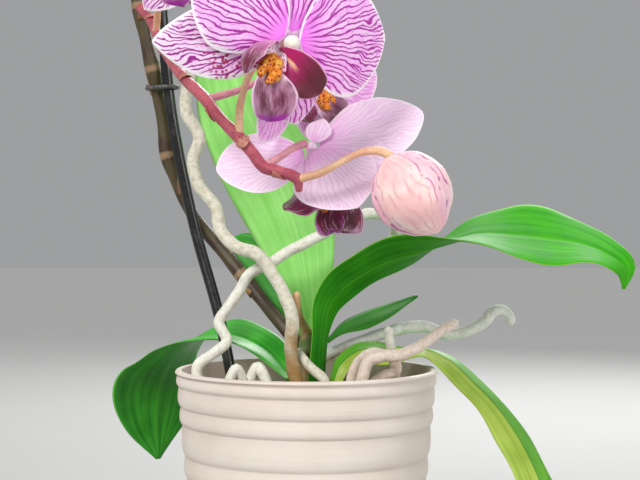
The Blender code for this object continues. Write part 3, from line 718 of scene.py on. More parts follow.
def callus_material():
    """Orange warts with rust-red dots."""
    s = Shader("callus", 0.42)
    dots = s.within(s.cells(s.place(), 700.0), 0.46, 0.30)
    skin = s.mix(s.within(s.noise(s.place(), 260.0), 0.4, 0.62), (0.86, 0.24, 0.01), (0.84, 0.44, 0.05))
    s.colour(s.mix(dots, skin, (0.36, 0.03, 0.01)))
    s.bump(s.noise(s.place(), 900.0), 0.4, 0.0005)
    return s.made


def column_material():
    """The column: pink at its foot, cream at its cap."""
    s = Shader("column", 0.42)
    _, share, _ = s.mark("stem")
    skin = s.mix(s.within(s.noise(s.place(), 300.0), 0.4, 0.6), (0.90, 0.62, 0.82), (0.94, 0.84, 0.90))
    s.colour(s.mix(s.within(share, 0.55, 0.72), skin, (0.93, 0.90, 0.78)))
    s.bump(s.noise(s.place(), 700.0), 0.25, 0.0004)
    s.flesh(0.3, 0.003)
    return s.made


def root_material(name, pale, mid, brown, tan=0.35, from_brown=0.0):
    """Velamen: silvery, finely mottled, with darker pits and tan patches. from_brown stains its foot."""
    s = Shader(name, 0.72)
    along, share, turn = s.mark("stem")
    place = s.place()
    mottle = s.noise(place, 420.0, 5.0, 0.7)
    patch = s.noise(place, 85.0, 3.0)
    skin = s.mix(s.within(mottle, 0.28, 0.60), mid, pale)
    skin = s.mix(s.within(patch, 0.56, 0.70) * tan, skin, brown)
    pits = s.within(s.cells(place, 800.0), 0.32, 0.12)
    skin = s.mix(pits * 0.16, skin, brown)
    if from_brown:
        stained = share + (patch - 0.5) * 0.25
        skin = s.mix(s.within(stained, from_brown, from_brown * 0.3), skin, brown)
    s.colour(skin)
    rings = s.noise(s.vector(along * 0.9, turn * 3.0), 1.0, 3.0)
    s.bump(mottle + rings * 0.8, 0.45, 0.0006)
    s.flesh(0.08, 0.002)
    return s.made


def stalk_material(name, main, other, speck, gloss=0.42, specks=0.6):
    """A fleshy stalk with a soft change of colour along it and fine darker specks."""
    s = Shader(name, gloss)
    place = s.place()
    soft = s.noise(place, 70.0, 3.0)
    skin = s.mix(s.within(soft, 0.38, 0.62), main, other)
    dots = s.within(s.cells(place, 650.0), 0.40, 0.22)
    s.colour(s.mix(dots * specks, skin, speck))
    along, _, turn = s.mark("stem")
    lines = s.noise(s.vector(turn * 22.0, along * 0.12), 1.0, 3.0)
    s.bump(lines + dots * 0.3, 0.4, 0.0005)
    s.flesh(0.15, 0.002)
    return s.made


def spike_material():
    """Old flower spike: dull brown and olive, lengthwise grain, tan rings at its nodes."""
    s = Shader("spike", 0.5)
    along, _, turn = s.mark("stem")
    node_at = s.mark("knots")[0]
    grain = s.noise(s.vector(turn * 26.0, along * 0.10), 1.0, 4.0)
    soft = s.noise(s.place(), 45.0, 3.0)
    skin = s.mix(s.within(soft, 0.4, 0.6), (0.045, 0.022, 0.012), (0.075, 0.060, 0.022))
    skin = s.mix(s.within(grain, 0.5, 0.7) * 0.5, skin, (0.16, 0.09, 0.05))
    uneven = node_at + (grain - 0.5) * 0.6
    skin = s.mix(s.within(uneven, 0.45, 0.9) * 0.8, skin, (0.34, 0.22, 0.12))
    s.colour(skin)
    s.bump(grain, 0.5, 0.0006)
    return s.made


def bud_material():
    """A closed bud: peach with a blush of pink and thin veins that run from the stalk to the tip."""
    s = Shader("bud", 0.62)
    _, _, turn = s.mark("stem")
    place = s.place()
    soft = s.noise(place, 60.0, 3.0)
    flesh = s.mix(s.within(soft, 0.36, 0.64), "f7c6c6", "fde4de")
    blush = s.within(s.math("SINE", (turn + 0.1) * (2 * math.pi * 3)), 0.1, 1.0)
    flesh = s.mix(blush * 0.45, flesh, "eca4cc")
    wobble = (s.noise(place, 90.0, 1.0) - 0.5) * 0.10
    around = (turn + wobble) * 22.0
    off = abs(s.math("FRACT", around) - 0.5)
    veins = s.within(off, 0.17, 0.06) * s.within(soft, 0.34, 0.52, 0.35, 1.0)
    veins = veins * s.within(s.noise(place, 260.0), 0.40, 0.52)
    tint_of_vein = s.mix(blush, "d08088", "a83c94")
    flesh = s.mix(veins * s.within(blush, 0.0, 1.0, 0.5, 0.8), flesh, tint_of_vein)
    s.colour(flesh)
    s.bump(veins * -0.6 + s.noise(place, 500.0), 0.3, 0.0005)
    s.flesh(0.3, 0.004, (1.0, 0.5, 0.5))
    return s.made


def pot_material():
    """Matte cream clay with faint throwing lines, fine grain and painted shade in the grooves."""
    s = Shader("pot_clay", 0.62)
    groove, height, _ = s.mark("ribs")
    place = s.place()
    cloud = s.noise(place, 22.0, 4.0)
    grain = s.noise(place, 1400.0, 2.0)
    lines = s.noise(s.vector(height * 1.6, cloud), 1.0, 4.0, 0.7)
    skin = s.mix(s.within(cloud, 0.35, 0.65), (0.69, 0.60, 0.53), (0.76, 0.68, 0.61))
    skin = s.mix(s.within(lines, 0.5, 0.75) * 0.22, skin, (0.58, 0.49, 0.42))
    # painted shade: the clay is darkened in the grooves, more where they are deeper
    skin = s.mix(groove * 0.30, skin, (0.42, 0.34, 0.28))
    s.colour(skin)
    s.bump(grain * 0.4 + lines, 0.25, 0.0006)
    s.set("Roughness", s.within(cloud, 0.3, 0.7, 0.55, 0.72))
    return s.made


def bark_material():
    """Rough bark in layers, with a tone of its own for each chip."""
    s = Shader("bark", 0.85)
    place = s.place()
    tone = s.mark("chip")[0]
    layers = s.noise(place, 130.0, 6.0, 0.7)
    skin = s.mix(s.within(layers, 0.36, 0.64), (0.10, 0.045, 0.022), (0.36, 0.20, 0.10))
    skin = s.mix(tone * 0.6, skin, (0.52, 0.34, 0.18))
    s.colour(skin)
    s.bump(layers + s.noise(place, 700.0), 0.8, 0.0012)
    return s.made


def stake_material():
    """Black plastic, a little rubbed."""
    s = Shader("stake", 0.26)
    rub = s.noise(s.place(), 180.0, 4.0)
    s.colour(s.mix(s.within(rub, 0.5, 0.8), (0.006, 0.007, 0.006), (0.016, 0.018, 0.016)))
    s.set("Roughness", s.within(rub, 0.35, 0.7, 0.2, 0.42))
    s.bump(rub, 0.12, 0.0003)
    s.set("Coat Weight", 0.3)
    s.set("Coat Roughness", 0.15)
    return s.made


def clip_material():
    """The wire tie's dull grey coating."""
    s = Shader("clip", 0.5)
    rub = s.noise(s.place(), 600.0, 3.0)
    s.colour(s.mix(s.within(rub, 0.35, 0.7), (0.05, 0.05, 0.05), (0.14, 0.14, 0.14)))
    s.bump(rub, 0.3, 0.0003)
    return s.made


def crown_material():
    """The short stem: old leaf bases in layers, green to papery tan."""
    s = Shader("crown_tissue", 0.62)
    along, _, turn = s.mark("stem")
    fibre = s.noise(s.vector(turn * 30.0, along * 0.2), 1.0, 4.0)
    patch = s.noise(s.place(), 110.0, 3.0)
    skin = s.mix(s.within(patch, 0.42, 0.6), (0.10, 0.17, 0.04), (0.34, 0.24, 0.10))
    s.colour(s.mix(s.within(fibre, 0.5, 0.75) * 0.5, skin, (0.20, 0.11, 0.05)))
    s.bump(fibre, 0.6, 0.0008)
    return s.made


def floor_material():
    s = Shader("floor", 0.75)
    s.colour(s.mix(s.noise(s.place(), 3.0, 2.0), (0.43, 0.43, 0.43), (0.47, 0.47, 0.465)))
    return s.made


# ---------------------------------------------------------------- pot and bark


def rib_shape(height):
    """0 in the bottom of a groove, 1 on the crest of the band above it."""
    edges = sorted(RIB_EDGES)
    for low, high in zip(edges, edges[1:]):
        if low <= height < high:
            share = (height - low) / (high - low)
            return math.sin(math.pi * share**0.66) ** 0.85
    top = edges[-1]
    return min(1.0, abs(height - (top if height >= top else edges[0])) / 1.6) ** 0.5


def arc(radius, height, bend, start):
    """A quarter turn of profile points round (radius, height), from start degrees."""
    turns = [math.radians(start + 18 * k) for k in range(6)]
    return [(radius + bend * math.cos(turn), height + bend * math.sin(turn), 0.0) for turn in turns]


def pot_profile():
    """(radius, height, groove) from the middle of the underside, up the outside, down the inside."""
    foot = POT_FOOT_RADIUS - 1.9  # where the underside's flat part ends
    inner = POT_RIM_RADIUS - POT_WALL
    points = [(radius, 0.0, 0.0) for radius in (2.0, 20.0, 40.0, 50.0)]
    points += arc(foot, FOOT_BEND, FOOT_BEND, -90)
    for height in np.arange(FOOT_BEND + POT_STEP, POT_HEIGHT - RIM_BEND, POT_STEP):
        crest = rib_shape(height)
        points.append((POT_FOOT_RADIUS + POT_SLOPE * height - RIB_DEPTH * (1 - crest), height, 1 - crest))
    points += arc(POT_RIM_RADIUS - RIM_BEND, POT_HEIGHT - RIM_BEND, RIM_BEND, 0)
    points += arc(inner + INNER_BEND, POT_HEIGHT - INNER_BEND, INNER_BEND, 90)
    for height in np.arange(POT_HEIGHT - 4.0, POT_FLOOR + 4.0, -4.0):
        points.append((POT_FOOT_RADIUS - POT_WALL + POT_SLOPE * height * 0.98, height, 0.0))
    points.append((POT_FOOT_RADIUS - POT_WALL - 3.0, POT_FLOOR, 0.0))
    points.append((2.0, POT_FLOOR, 0.0))
    return points


def make_pot():
    profile = np.array(pot_profile())
    turns = np.linspace(0, 2 * math.pi, POT_SEGMENTS, endpoint=False)
    radius, height, groove = (profile[:, k][:, None] for k in range(3))
    wander = 0.35 * np.sin(turns * 2 + 0.8)[None, :] * (groove > 0)
    rings = np.stack([
        radius * np.cos(turns), radius * np.sin(turns), np.tile(height, (1, POT_SEGMENTS)) + wander], axis=-1)
    outside = (radius > POT_FOOT_RADIUS) & (groove > 0.02)
    rings[..., :2] *= 1 + 0.0016 * wave(rings, 26.0, 1.0)[..., None] * outside[..., None]
    marks = np.zeros_like(rings)
    # the groove depth, which pot_material turns into painted shade in the grooves
    marks[..., 0] = groove**1.5
    marks[..., 1] = height
    ring_object("pot_body", rings, {"ribs": marks}, pot_material(), "pot_clay", "pot")


def bark_bed():
    """The bark that fills the pot, with a rough top."""
    inner = POT_FOOT_RADIUS - POT_WALL - BARK_CLEARANCE
    profile = [(2.0, POT_FLOOR + 0.4), (inner - 4, POT_FLOOR + 0.4), (inner + POT_SLOPE * 14, 14.0)]
    profile += [(inner + POT_SLOPE * height, height) for height in (40.0, 75.0, BARK_TOP - 3)]
    profile += [(radius, BARK_TOP - 1.0) for radius in np.linspace(inner + POT_SLOPE * 106, 2.0, 34)]
    sides = 120
    turns = np.linspace(0, 2 * math.pi, sides, endpoint=False)
    rings = np.array([[(r * math.cos(a), r * math.sin(a), z) for a in turns] for r, z in profile])
    top = rings[..., 2] > BARK_TOP - 2
    rings[..., 2] += top * (wave(rings, 9.0, 2.0) * 1.6 + wave(rings, 3.5, 3.0) * 0.7)
    return rings


def chip(draw, place, size, seed):
    """One rough bark chip: a block with rounded corners and broken faces."""
    bm = bmesh.new()
    bmesh.ops.create_cube(bm, size=1.0)
    bmesh.ops.subdivide_edges(bm, edges=bm.edges[:], cuts=4, use_grid_fill=True)
    points = np.array([v.co for v in bm.verts])
    faces = [tuple(v.index for v in f.verts) for f in bm.faces]
    bm.free()
    rounded = points / np.maximum(np.linalg.norm(points, axis=1), 1e-6)[:, None] * 0.62
    points = (points * 0.68 + rounded * 0.32) * size
    points *= 1 + 0.20 * wave(points + seed, 4.0)[:, None] + 0.10 * wave(points + seed, 1.6)[:, None]
    turn, tip, roll = draw.uniform(0, 2 * math.pi), draw.gauss(0, 0.30), draw.gauss(0, 0.30)
    about_z = np.array([
        (math.cos(turn), -math.sin(turn), 0), (math.sin(turn), math.cos(turn), 0), (0, 0, 1)])
    about_x = np.array([(1, 0, 0), (0, math.cos(tip), -math.sin(tip)), (0, math.sin(tip), math.cos(tip))])
    about_y = np.array([(math.cos(roll), 0, math.sin(roll)), (0, 1, 0), (-math.sin(roll), 0, math.cos(roll))])
    return points @ (about_z @ about_x @ about_y).T + place, faces


def make_bark():
    bark = bark_material()
    rings = bark_bed()
    bed = ring_object("bark_bed", rings, {"chip": np.zeros_like(rings)}, bark, "bark", "potting_bark")
    bed.data.set_sharp_from_angle(angle=BARK_SHARP)
    draw = random.Random(11)
    chips = []
    for k in range(CHIP_COUNT):
        reach = CHIP_SPREAD * math.sqrt((k + 0.5) / CHIP_COUNT)
        angle = k * GOLDEN_ANGLE + draw.uniform(-0.2, 0.2)
        size = np.array([draw.uniform(8, 17), draw.uniform(6, 10), draw.uniform(3.5, 6)])
        reach = min(reach, CHIP_LIMIT - size[0] / 2)
        place = (reach * math.cos(angle), reach * math.sin(angle), BARK_TOP + draw.uniform(-0.6, 1.8))
        points, faces = chip(draw, np.array(place), size, 13.0 * k)
        chips.append((points, faces, np.tile((draw.random() ** 2, 0.0, 0.0), (len(points), 1))))
    joined_object("bark_chips", chips, "chip", bark, "bark")


# ---------------------------------------------------------------- roots, leaves and stalks


def make_crown():
    tube(
        "crown_stem", CROWN, crown_material(), "crown_tissue", "crown",
        sides=32, spacing=1.0, lumps=0.10, lump_size=5.0, seed=4.0)


# Each look of a root: pale, middle and brown tint, how much tan, and the share its foot is stained
ROOT_LOOKS = {
    "root_silver": ("e8e8dc", "ccccbc", "b09a74", 0.20), "root_pink": ("e6d8ca", "cfbca8", "b08e6c", 0.3),
    "root_grey": ("eeefe8", "d2d6ca", "aeb498", 0.20),
    "root_stained": ("dcdac8", "b9b69c", "96743f", 0.25, 0.20),
    "root_fresh": ("dcb38a", "c08d58", "a2602c", 0.6),
}
ROOT_KINDS = {
    "root_tall": "root_stained", "root_front": "root_pink", "root_loop": "root_pink",
    "root_silver": "root_grey", "root_new_tip": "root_fresh", "root_pale": "root_stained",
}


def make_roots():
    looks = {name: root_material(name, *look) for name, look in ROOT_LOOKS.items()}
    for k, (name, radius, tip, points) in enumerate(ROOTS):
        last = len(points) - 1
        stations = [(*p, radius + (tip - radius) * (i / last) ** 3) for i, p in enumerate(points)]
        tube(
            name.replace("root_", "aerial_root_"), stations,
            looks[ROOT_KINDS.get(name, "root_silver")], "root", name,
            sides=26, spacing=1.1, lumps=0.13, lump_size=8.0, seed=3.0 * k,
            round_end=points[-1][2] > BARK_TOP + 4)


# Each look of a leaf: its deep and bright green, underside, edge and midrib
LEAF_LOOKS = {
    "leaf_right": (("249206", "48b40e", "147404", "a2da54", "66c41e"), {"gloss": 0.60, "shine": 0.22}),
    "leaf_tall": (("7ccb58", "9ce07a", "5fb040", "b4e890", "aee888"), {"gloss": 0.5}),
    "leaf_left": (("22921a", "46b42a", "126a0c", "74b848", "48aa2a"), {}),
    # leaf_lower's half: lighter greens painted on one half of the blade as painted light
    "leaf_lower": (("4c9a1c", "74b834", "5d9c26", "d2e28e", "2d6a10"), {"half": ("8fae34", "b4cc58")}),
    "leaf_inner": (("1c6a12", "3a8c22", "12500c", "7cb450", "3c8c24"), {}),
}
# For each leaf its look, its slot, and whether its upper side is turned down
LEAF_KINDS = {
    "leaf_right": ("leaf_right", "leaf", False), "leaf_tall": ("leaf_tall", "leaf_pale", False),
    "leaf_left": ("leaf_left", "leaf", False), "leaf_lower_right": ("leaf_lower", "leaf_pale", True),
    "leaf_narrow": ("leaf_inner", "leaf", True), "leaf_behind": ("leaf_left", "leaf", False),
}


def make_leaves():
    looks = {name: leaf_material(name, *tints, **more) for name, (tints, more) in LEAF_LOOKS.items()}
    for k, (name, stations) in enumerate(LEAVES.items()):
        look, slot, flip = LEAF_KINDS[name]
        rows = max(40, round(length_of(stations) / 2.2))
        grid, u, v = blade_grid(
            stations, rows, 29, ripple=0.8, ripple_length=46.0, groove=0.6, seed=1.7 * k,
            rise_by=0.4 if name == "leaf_right" else 0.8)
        half = flow(stations, rows)[:, 3]
        thick = LEAF_SHEET * np.minimum(1.0, 0.25 + half / 14)
        sheet_object(
            name.replace("leaf_", "blade_"), grid, u, v, None, thick[:, None], looks[look], slot, name, flip)


def bract(stem, at, height, wide, lean, phase):
    """Rings of a small pointed sheath that wraps a stem at a share of its length."""
    rows = flow(stem, STEM_ROWS)
    low = int(at * (STEM_ROWS - 1))
    columns, levels = 13, 9
    tangent = unit(rows[min(low + 4, STEM_ROWS - 1), :3] - rows[max(low - 4, 0), :3])
    across = unit(np.cross(tangent, [math.sin(phase), math.cos(phase), 0.2]))
    other = np.cross(tangent, across)
    outer, inner = [], []
    for i in range(levels):
        share = i / (levels - 1)
        spread = math.radians(wide) * (1 - share**1.8) + 0.06
        for k in range(columns):
            a = spread * (2 * k / (columns - 1) - 1)
            spoke = across * math.cos(a) + other * math.sin(a)
            radius = rows[low, 3] + 0.25 + lean * share**2
            middle = rows[low, :3] + tangent * (share * height)
            outer.append(middle + spoke * (radius + 0.35 * (1 - share)))
            inner.append(middle + spoke * (radius - 0.3))
    grid_outer = np.array(outer).reshape(levels, columns, 3)
    grid_inner = np.array(inner).reshape(levels, columns, 3)
    return np.concatenate([grid_outer, grid_inner[:, ::-1]], axis=1)


def make_bracts(name, stem, places, made_of, slot):
    bodies = []
    for at, height, wide, lean, phase in places:
        rings = bract(stem, at, height, wide, lean, phase)
        marks = np.zeros_like(rings)
        marks[..., 0] = np.linspace(0, height, len(rings))[:, None]
        marks[..., 1] = np.linspace(0, 1, len(rings))[:, None]
        marks[..., 2] = np.linspace(0, 1, rings.shape[1])
        bodies.append((*ring_body(rings), marks))
    joined_object(name, bodies, "stem", made_of, slot)


def make_spike():
    rings, marks = tube_rings(SPIKE, sides=32, spacing=1.2, lumps=0.05, lump_size=9.0, seed=9.0)
    centres = rings.mean(axis=1)
    knots = np.zeros((*rings.shape[:2], 3))
    for x, y, z, radius in SPIKE:
        if radius > KNOT_RADIUS:
            away = np.linalg.norm(centres - np.array([x, y, z]), axis=1)
            knots[..., 0] = np.maximum(knots[..., 0], np.exp(-((away / 2.8) ** 2))[:, None])
    marks = {"stem": marks, "knots": knots}
    ring_object("spike_stem", rings, marks, spike_material(), "spike", "flower_spike")
    papery = stalk_material("spike_bract", "a98258", "7c5836", "4a3020", 0.6, 0.5)
    places = ((0.19, 13, 95, 0.6, 0.4), (0.47, 14, 100, 0.6, 3.4), (0.70, 13, 95, 0.6, 0.9),
              (0.865, 10, 90, 0.5, 3.6))
    make_bracts("spike_bracts", SPIKE, places, papery, "spike")


def make_branch():
    rose = stalk_material("branch", "c2606c", "a8485a", "7a2a38", 0.40, 0.55)
    tube(
        "branch_stem", BRANCH, rose, "branch", "flower_branch",
        sides=28, spacing=1.1, lumps=0.06, lump_size=7.0, seed=2.0)
    places = ((0.12, 6, 80, 0.9, 1.0), (0.31, 6, 80, 0.9, 4.0), (0.58, 6, 85, 0.9, 1.6),
              (0.74, 6, 85, 0.9, 4.4), (0.845, 5, 85, 0.8, 1.8), (0.93, 6, 85, 0.5, 4.6))
    dry = stalk_material("branch_bract", "c98a78", "b06a5c", "7c3c34", 0.55, 0.5)
    make_bracts("branch_bracts", BRANCH, places, dry, "branch")
    peach = stalk_material("pedicel", "ecc69c", "e0ac88", "c9808a", 0.42, 0.35)
    blush = stalk_material("pedicel_blush", "dca2a4", "d08c98", "a85068", 0.42, 0.4)
    for k, (name, points) in enumerate(PEDICELS.items()):
        last = len(points) - 1
        stations = [
            (*p, PEDICEL_RADIUS * (1.0 + 0.12 * math.cos(2 * math.pi * i / last)))
            for i, p in enumerate(points)
        ]
        if name == "pedicel_bud":
            stations += [(36.6, -128.4, 229.0, 2.2), (38.2, -128, 226.4, 3.4)]
        tube(
            name.replace("pedicel_", "flower_stalk_"), stations,
            blush if name in ("pedicel_middle", "pedicel_back") else peach, "pedicel", name,
            sides=22, spacing=0.9, lumps=0.05, lump_size=5.0, seed=6.0 * k)


def at_height(stations, height):
    rows = flow(stations, STEM_ROWS)
    return rows[np.argmin(np.abs(rows[:, 2] - height)), :3]


def make_stake_and_clip():
    tube(
        "stake_rod", STAKE, stake_material(), "stake", "support_stake",
        sides=32, spacing=2.0, round_end=True)
    spike, stake = at_height(SPIKE, CLIP_HEIGHT), at_height(STAKE, CLIP_HEIGHT)
    along = unit(stake - spike)
    beside = unit(np.array([-along[1], along[0], 0.0]))
    reach = STEM_REACH + CLIP_WIRE + GAP
    count, sides = 96, 14
    turns = np.linspace(0, 2 * math.pi, count, endpoint=False)
    path = np.array([
        (stake if math.cos(a) > 0 else spike) + along * math.cos(a) * reach + beside * math.sin(a) * reach
        for a in turns
    ])
    ahead = unit(np.roll(path, -1, axis=0) - np.roll(path, 1, axis=0))
    out = unit(np.cross(ahead, [0.0, 0.0, 1.0]))
    up = np.cross(out, ahead)
    bends = np.linspace(0, 2 * math.pi, sides, endpoint=False)
    rings = (
        path[:, None, :]
        + (out[:, None, :] * np.cos(bends)[None, :, None] + up[:, None, :] * np.sin(bends)[None, :, None])
        * CLIP_WIRE
    )
    vertices = rings.reshape(-1, 3)
    faces = ring_faces(count, sides, ends=False)
    faces += [
        ((count - 1) * sides + j, j, (j + 1) % sides, (count - 1) * sides + (j + 1) % sides)
        for j in range(sides)
    ]
    grey = clip_material()
    marks = {"stem": np.zeros_like(vertices)}
    mesh_object("clip_loop", vertices, outward(faces, vertices), marks, grey, "clip", "spike_clip")
    end = spike - along * reach
    tail = (
        (*(end + beside * 1.0), 1.0), (*(end - along * 1.5 + beside * 3.0), 1.0),
        (*(end - along * 4.0 + beside * 4.5 + np.array([0, 0, 1.0])), 0.9),
        (*(end - along * 7.0 + beside * 4.5 + np.array([0, 0, 3.0])), 0.8))
    tube("clip_tail", tail, grey, "clip", None, sides=12, spacing=0.7, round_end=True)


# ---------------------------------------------------------------- flowers


def flower_frame(flower, facing="faces"):
    """The flower's axes: to its right as seen from the front, up towards its back sepal, and forward."""
    forward = unit(np.array(flower.get(facing, flower["faces"]), float))
    up = np.array(flower["up"], float)
    up = unit(up - forward * np.dot(up, forward))
    return np.cross(up, forward), up, forward


def tepal_width(share, width, broad):
    """Half width of a petal (broad) or a sepal at each share of its length."""
    peak = 0.52 if broad else 0.5
    shape = np.maximum(np.sin(math.pi * share ** (math.log(0.5) / math.log(peak))), 0.0)
    return TEPAL_CLAW * (1 - share) + (width / 2) * shape ** (0.62 if broad else 0.75)


def make_tepal(name, node, flower, plan, made_of, broad, seed):
    right, up, forward = flower_frame(flower)
    angle, length, width, height = plan
    turn = math.radians(angle)
    bow = flower["bow"] + flower["low_bow"] * max(0.0, -math.sin(turn))
    rows, columns = 44, 37
    share = np.tile((np.linspace(0, 1, rows) ** 0.9)[:, None], (1, columns))
    share = 1 - (1 - share) ** 1.25
    u = np.tile(np.sin(np.linspace(-1, 1, columns) * math.pi / 2)[None, :], (rows, 1))
    reach = TEPAL_START + (length - TEPAL_START) * share
    half = tepal_width(share * 0.997, width, broad)
    uneven = np.stack([share * 4.0, np.sign(u) * 2.0, np.full_like(u, seed)], axis=-1)
    half *= 1 + 0.035 * wave(uneven, 1.0) * np.sin(math.pi * share)
    x = reach * math.cos(turn) - u * half * math.sin(turn)
    y = reach * math.sin(turn) + u * half * math.cos(turn)
    edge = np.minimum(half * (1 - np.abs(u)), (length - reach) * 1.2 + 0.3)
    inset = 1 - np.clip(edge / (width * 0.16), 0, 1)
    place = np.stack([x / 9.0, y / 9.0, np.full_like(x, seed)], axis=-1)
    ruffle = wave(place, 1.0) * (0.25 + 0.75 * inset**1.5) * 1.5 * smooth_step(0.1, 0.5, share)
    ribs = 0.05 * np.cos(u * half * 2.6) * (1 - inset)
    crease = -0.5 * np.exp(-((u * half / 1.5) ** 2)) * np.sin(math.pi * np.clip(share * 1.1, 0, 1))
    cup = 0.9 * inset**2 * smooth_step(0.25, 0.7, share) * (1 if broad else -0.4)
    z = height + bow * (x * x + y * y) + ruffle * 0.55 + ribs + crease + cup * 0.5
    grid = (
        np.array(flower["centre"], float)
        + right * x[..., None] + up * y[..., None] + forward * z[..., None]
    )
    facing = surface_normals(grid)
    flip = float((facing * forward).sum(axis=-1).mean()) < 0
    petal = (u * half, reach - TEPAL_START, edge)
    sheet_object(name, grid, u, share, petal, TEPAL_SHEET, made_of, "petal", node, flip)


def hanging(flower, share):
    """The direction in the flower's plane that the lip runs in, at a share of its length."""
    right, up, _ = flower_frame(flower, "lip_faces")
    start, turn = flower["lip"]
    angle = math.radians(start + turn * share)
    return right * math.cos(angle) + up * math.sin(angle)


def lip_point(flower, ahead, below, beside=0.0, share=0.3):
    """A place on the lip, in mm forward, down and to its left from the flower's centre."""
    forward = flower_frame(flower, "lip_faces")[2]
    down = hanging(flower, share)
    across = np.cross(down, forward)
    place = forward * ahead + down * below + across * beside
    return np.array(flower["centre"], float) + place * flower["lip_size"]


def lip_sheet(name, flower, route, facing, made_of, node, ruffle=0.5, rise=20.0):
    """A lobe of the lip along route: rows of ahead, below, beside and half width, in the lip's frame.

    facing is the way its inner face looks, as forward, down and left.
    """
    forward = flower_frame(flower, "lip_faces")[2]
    down = hanging(flower, 1.0)
    left = np.cross(down, forward)
    size = flower["lip_size"]
    looks = unit(forward * facing[0] + down * facing[1] + left * facing[2])
    places = np.array([lip_point(flower, a, d, b, 1.0) for a, d, b, _ in route])
    runs = unit(np.gradient(places, axis=0))
    stations = [
        (*place, half * size, *np.cross(run, looks), rise)
        for place, run, (_, _, _, half) in zip(places, runs, route)
    ]
    grid, u, v = blade_grid(stations, 40, 33, ripple=ruffle * size, ripple_length=9.0, seed=1.0)
    flip = float((surface_normals(grid) * looks).sum(axis=-1).mean()) < 0
    return sheet_object(name, grid, u, v, None, LIP_SHEET, made_of, "lip", node, flip)


# The lip's lobes: ahead, below, beside and half width
RIGHT_LOBE = (
    (5.0, 4.5, 4.0, 2.0), (8.0, 6.5, 1.5, 5.0), (11.5, 9.8, -3.2, 8.6), (13.0, 13.2, -8.6, 9.2),
    (12.5, 16.2, -13.0, 6.5), (11.5, 17.8, -15.8, 0.8))
LEFT_LOBE = (
    (4.0, 2.0, 6.0, 2.4), (7.0, 2.0, 10.4, 5.4), (10.5, 4.0, 15.0, 7.8), (13.0, 8.0, 17.9, 8.2),
    (14.5, 12.5, 18.5, 5.8), (15.0, 16.5, 17.5, 0.8))
MIDDLE_LOBE = (
    (11.0, 13.0, 6.4, 3.0), (13.0, 17.0, 6.2, 7.4), (14.5, 21.5, 5.2, 10.6), (15.2, 26.0, 4.2, 11.0),
    (14.4, 30.4, 3.4, 8.0), (12.6, 33.8, 3.0, 1.0))
THROAT = ((3.4, 3.6, 4.2, 2.4), (6.0, 6.0, 5.6, 4.4), (9.0, 9.5, 5.6, 5.2), (12.0, 14.0, 4.6, 4.4))
# One arm of the callus and one thread of the tip: ahead, below, beside and radius
CALLUS = (
    (9.0, 9.0, 0.8, 1.2), (11.4, 11.0, 1.6, 2.4), (13.2, 13.6, 2.2, 3.0), (14.8, 16.4, 2.8, 2.5),
    (15.6, 18.8, 2.2, 1.5), (15.2, 20.4, 1.2, 0.6))
CALLUS_SHIFT = 2.0
TENDRIL = (
    (13.6, 31.0, 0.6, 0.7), (13.4, 33.0, 1.6, 0.55), (12.0, 34.0, 3.0, 0.5), (10.2, 33.0, 4.2, 0.42),
    (9.4, 30.6, 5.0, 0.36), (10.2, 28.6, 5.6, 0.3))
OUTSIDE_NEAR_TIP = (0.0, 0.9, 1.0)  # the blade mark that gives the threads the lip's tip colour


def make_lip(which, flower, lobe, blade, throat, callus):
    lip_sheet(
        f"{which}_lip_blade", flower, MIDDLE_LOBE, (0.85, -0.5, 0.0), blade, f"{which}_lip",
        ruffle=0.4, rise=28.0)
    lip_sheet(f"{which}_lip_right", flower, RIGHT_LOBE, (0.92, 0.1, 0.38), lobe, None)
    lip_sheet(f"{which}_lip_left", flower, LEFT_LOBE, (-0.35, 0.3, -0.88), lobe, None)
    lip_sheet(f"{which}_lip_throat", flower, THROAT, (0.9, -0.4, 0.0), throat, None, ruffle=0.1, rise=30.0)
    make_callus(which, flower, callus)
    if which != "front":
        make_tendrils(which, flower, blade)


def make_callus(which, flower, made_of):
    """The forked, warty crest in the throat."""
    bodies = []
    for side in (-1, 1):
        stations = [
            (*lip_point(flower, ahead, below, beside * side + CALLUS_SHIFT), radius * flower["lip_size"])
            for ahead, below, beside, radius in CALLUS
        ]
        rings, marks = tube_rings(
            stations, sides=22, spacing=0.3, lumps=0.5, lump_size=2.2, seed=5.0 + side, round_end=True)
        bodies.append((*ring_body(rings), marks))
    joined_object(f"{which}_callus", bodies, "stem", made_of, "lip")


def make_tendrils(which, flower, made_of):
    """The pair of thin threads that curl back from the lip's tip."""
    bodies = []
    for side in (-1, 1):
        stations = [
            (*lip_point(flower, ahead, below, beside * side, share=1.0), radius)
            for ahead, below, beside, radius in TENDRIL
        ]
        rings, marks = tube_rings(stations, sides=10, spacing=0.5, round_end=True)
        marks[:] = OUTSIDE_NEAR_TIP
        bodies.append((*ring_body(rings), marks))
    joined_object(f"{which}_tendrils", bodies, "blade", made_of, "lip")


def make_column(which, flower, made_of):
    forward = flower_frame(flower, "lip_faces")[2]
    down = hanging(flower, 0.0)
    stations = []
    for ahead, below, radius in COLUMN:
        stations.append((*(np.array(flower["centre"], float) + forward * ahead + down * below), radius))
    tube(
        f"{which}_stamen_column", stations, made_of, "column", f"{which}_column",
        sides=28, spacing=0.4, lumps=0.06, lump_size=3.0, seed=8.0, round_end=True)


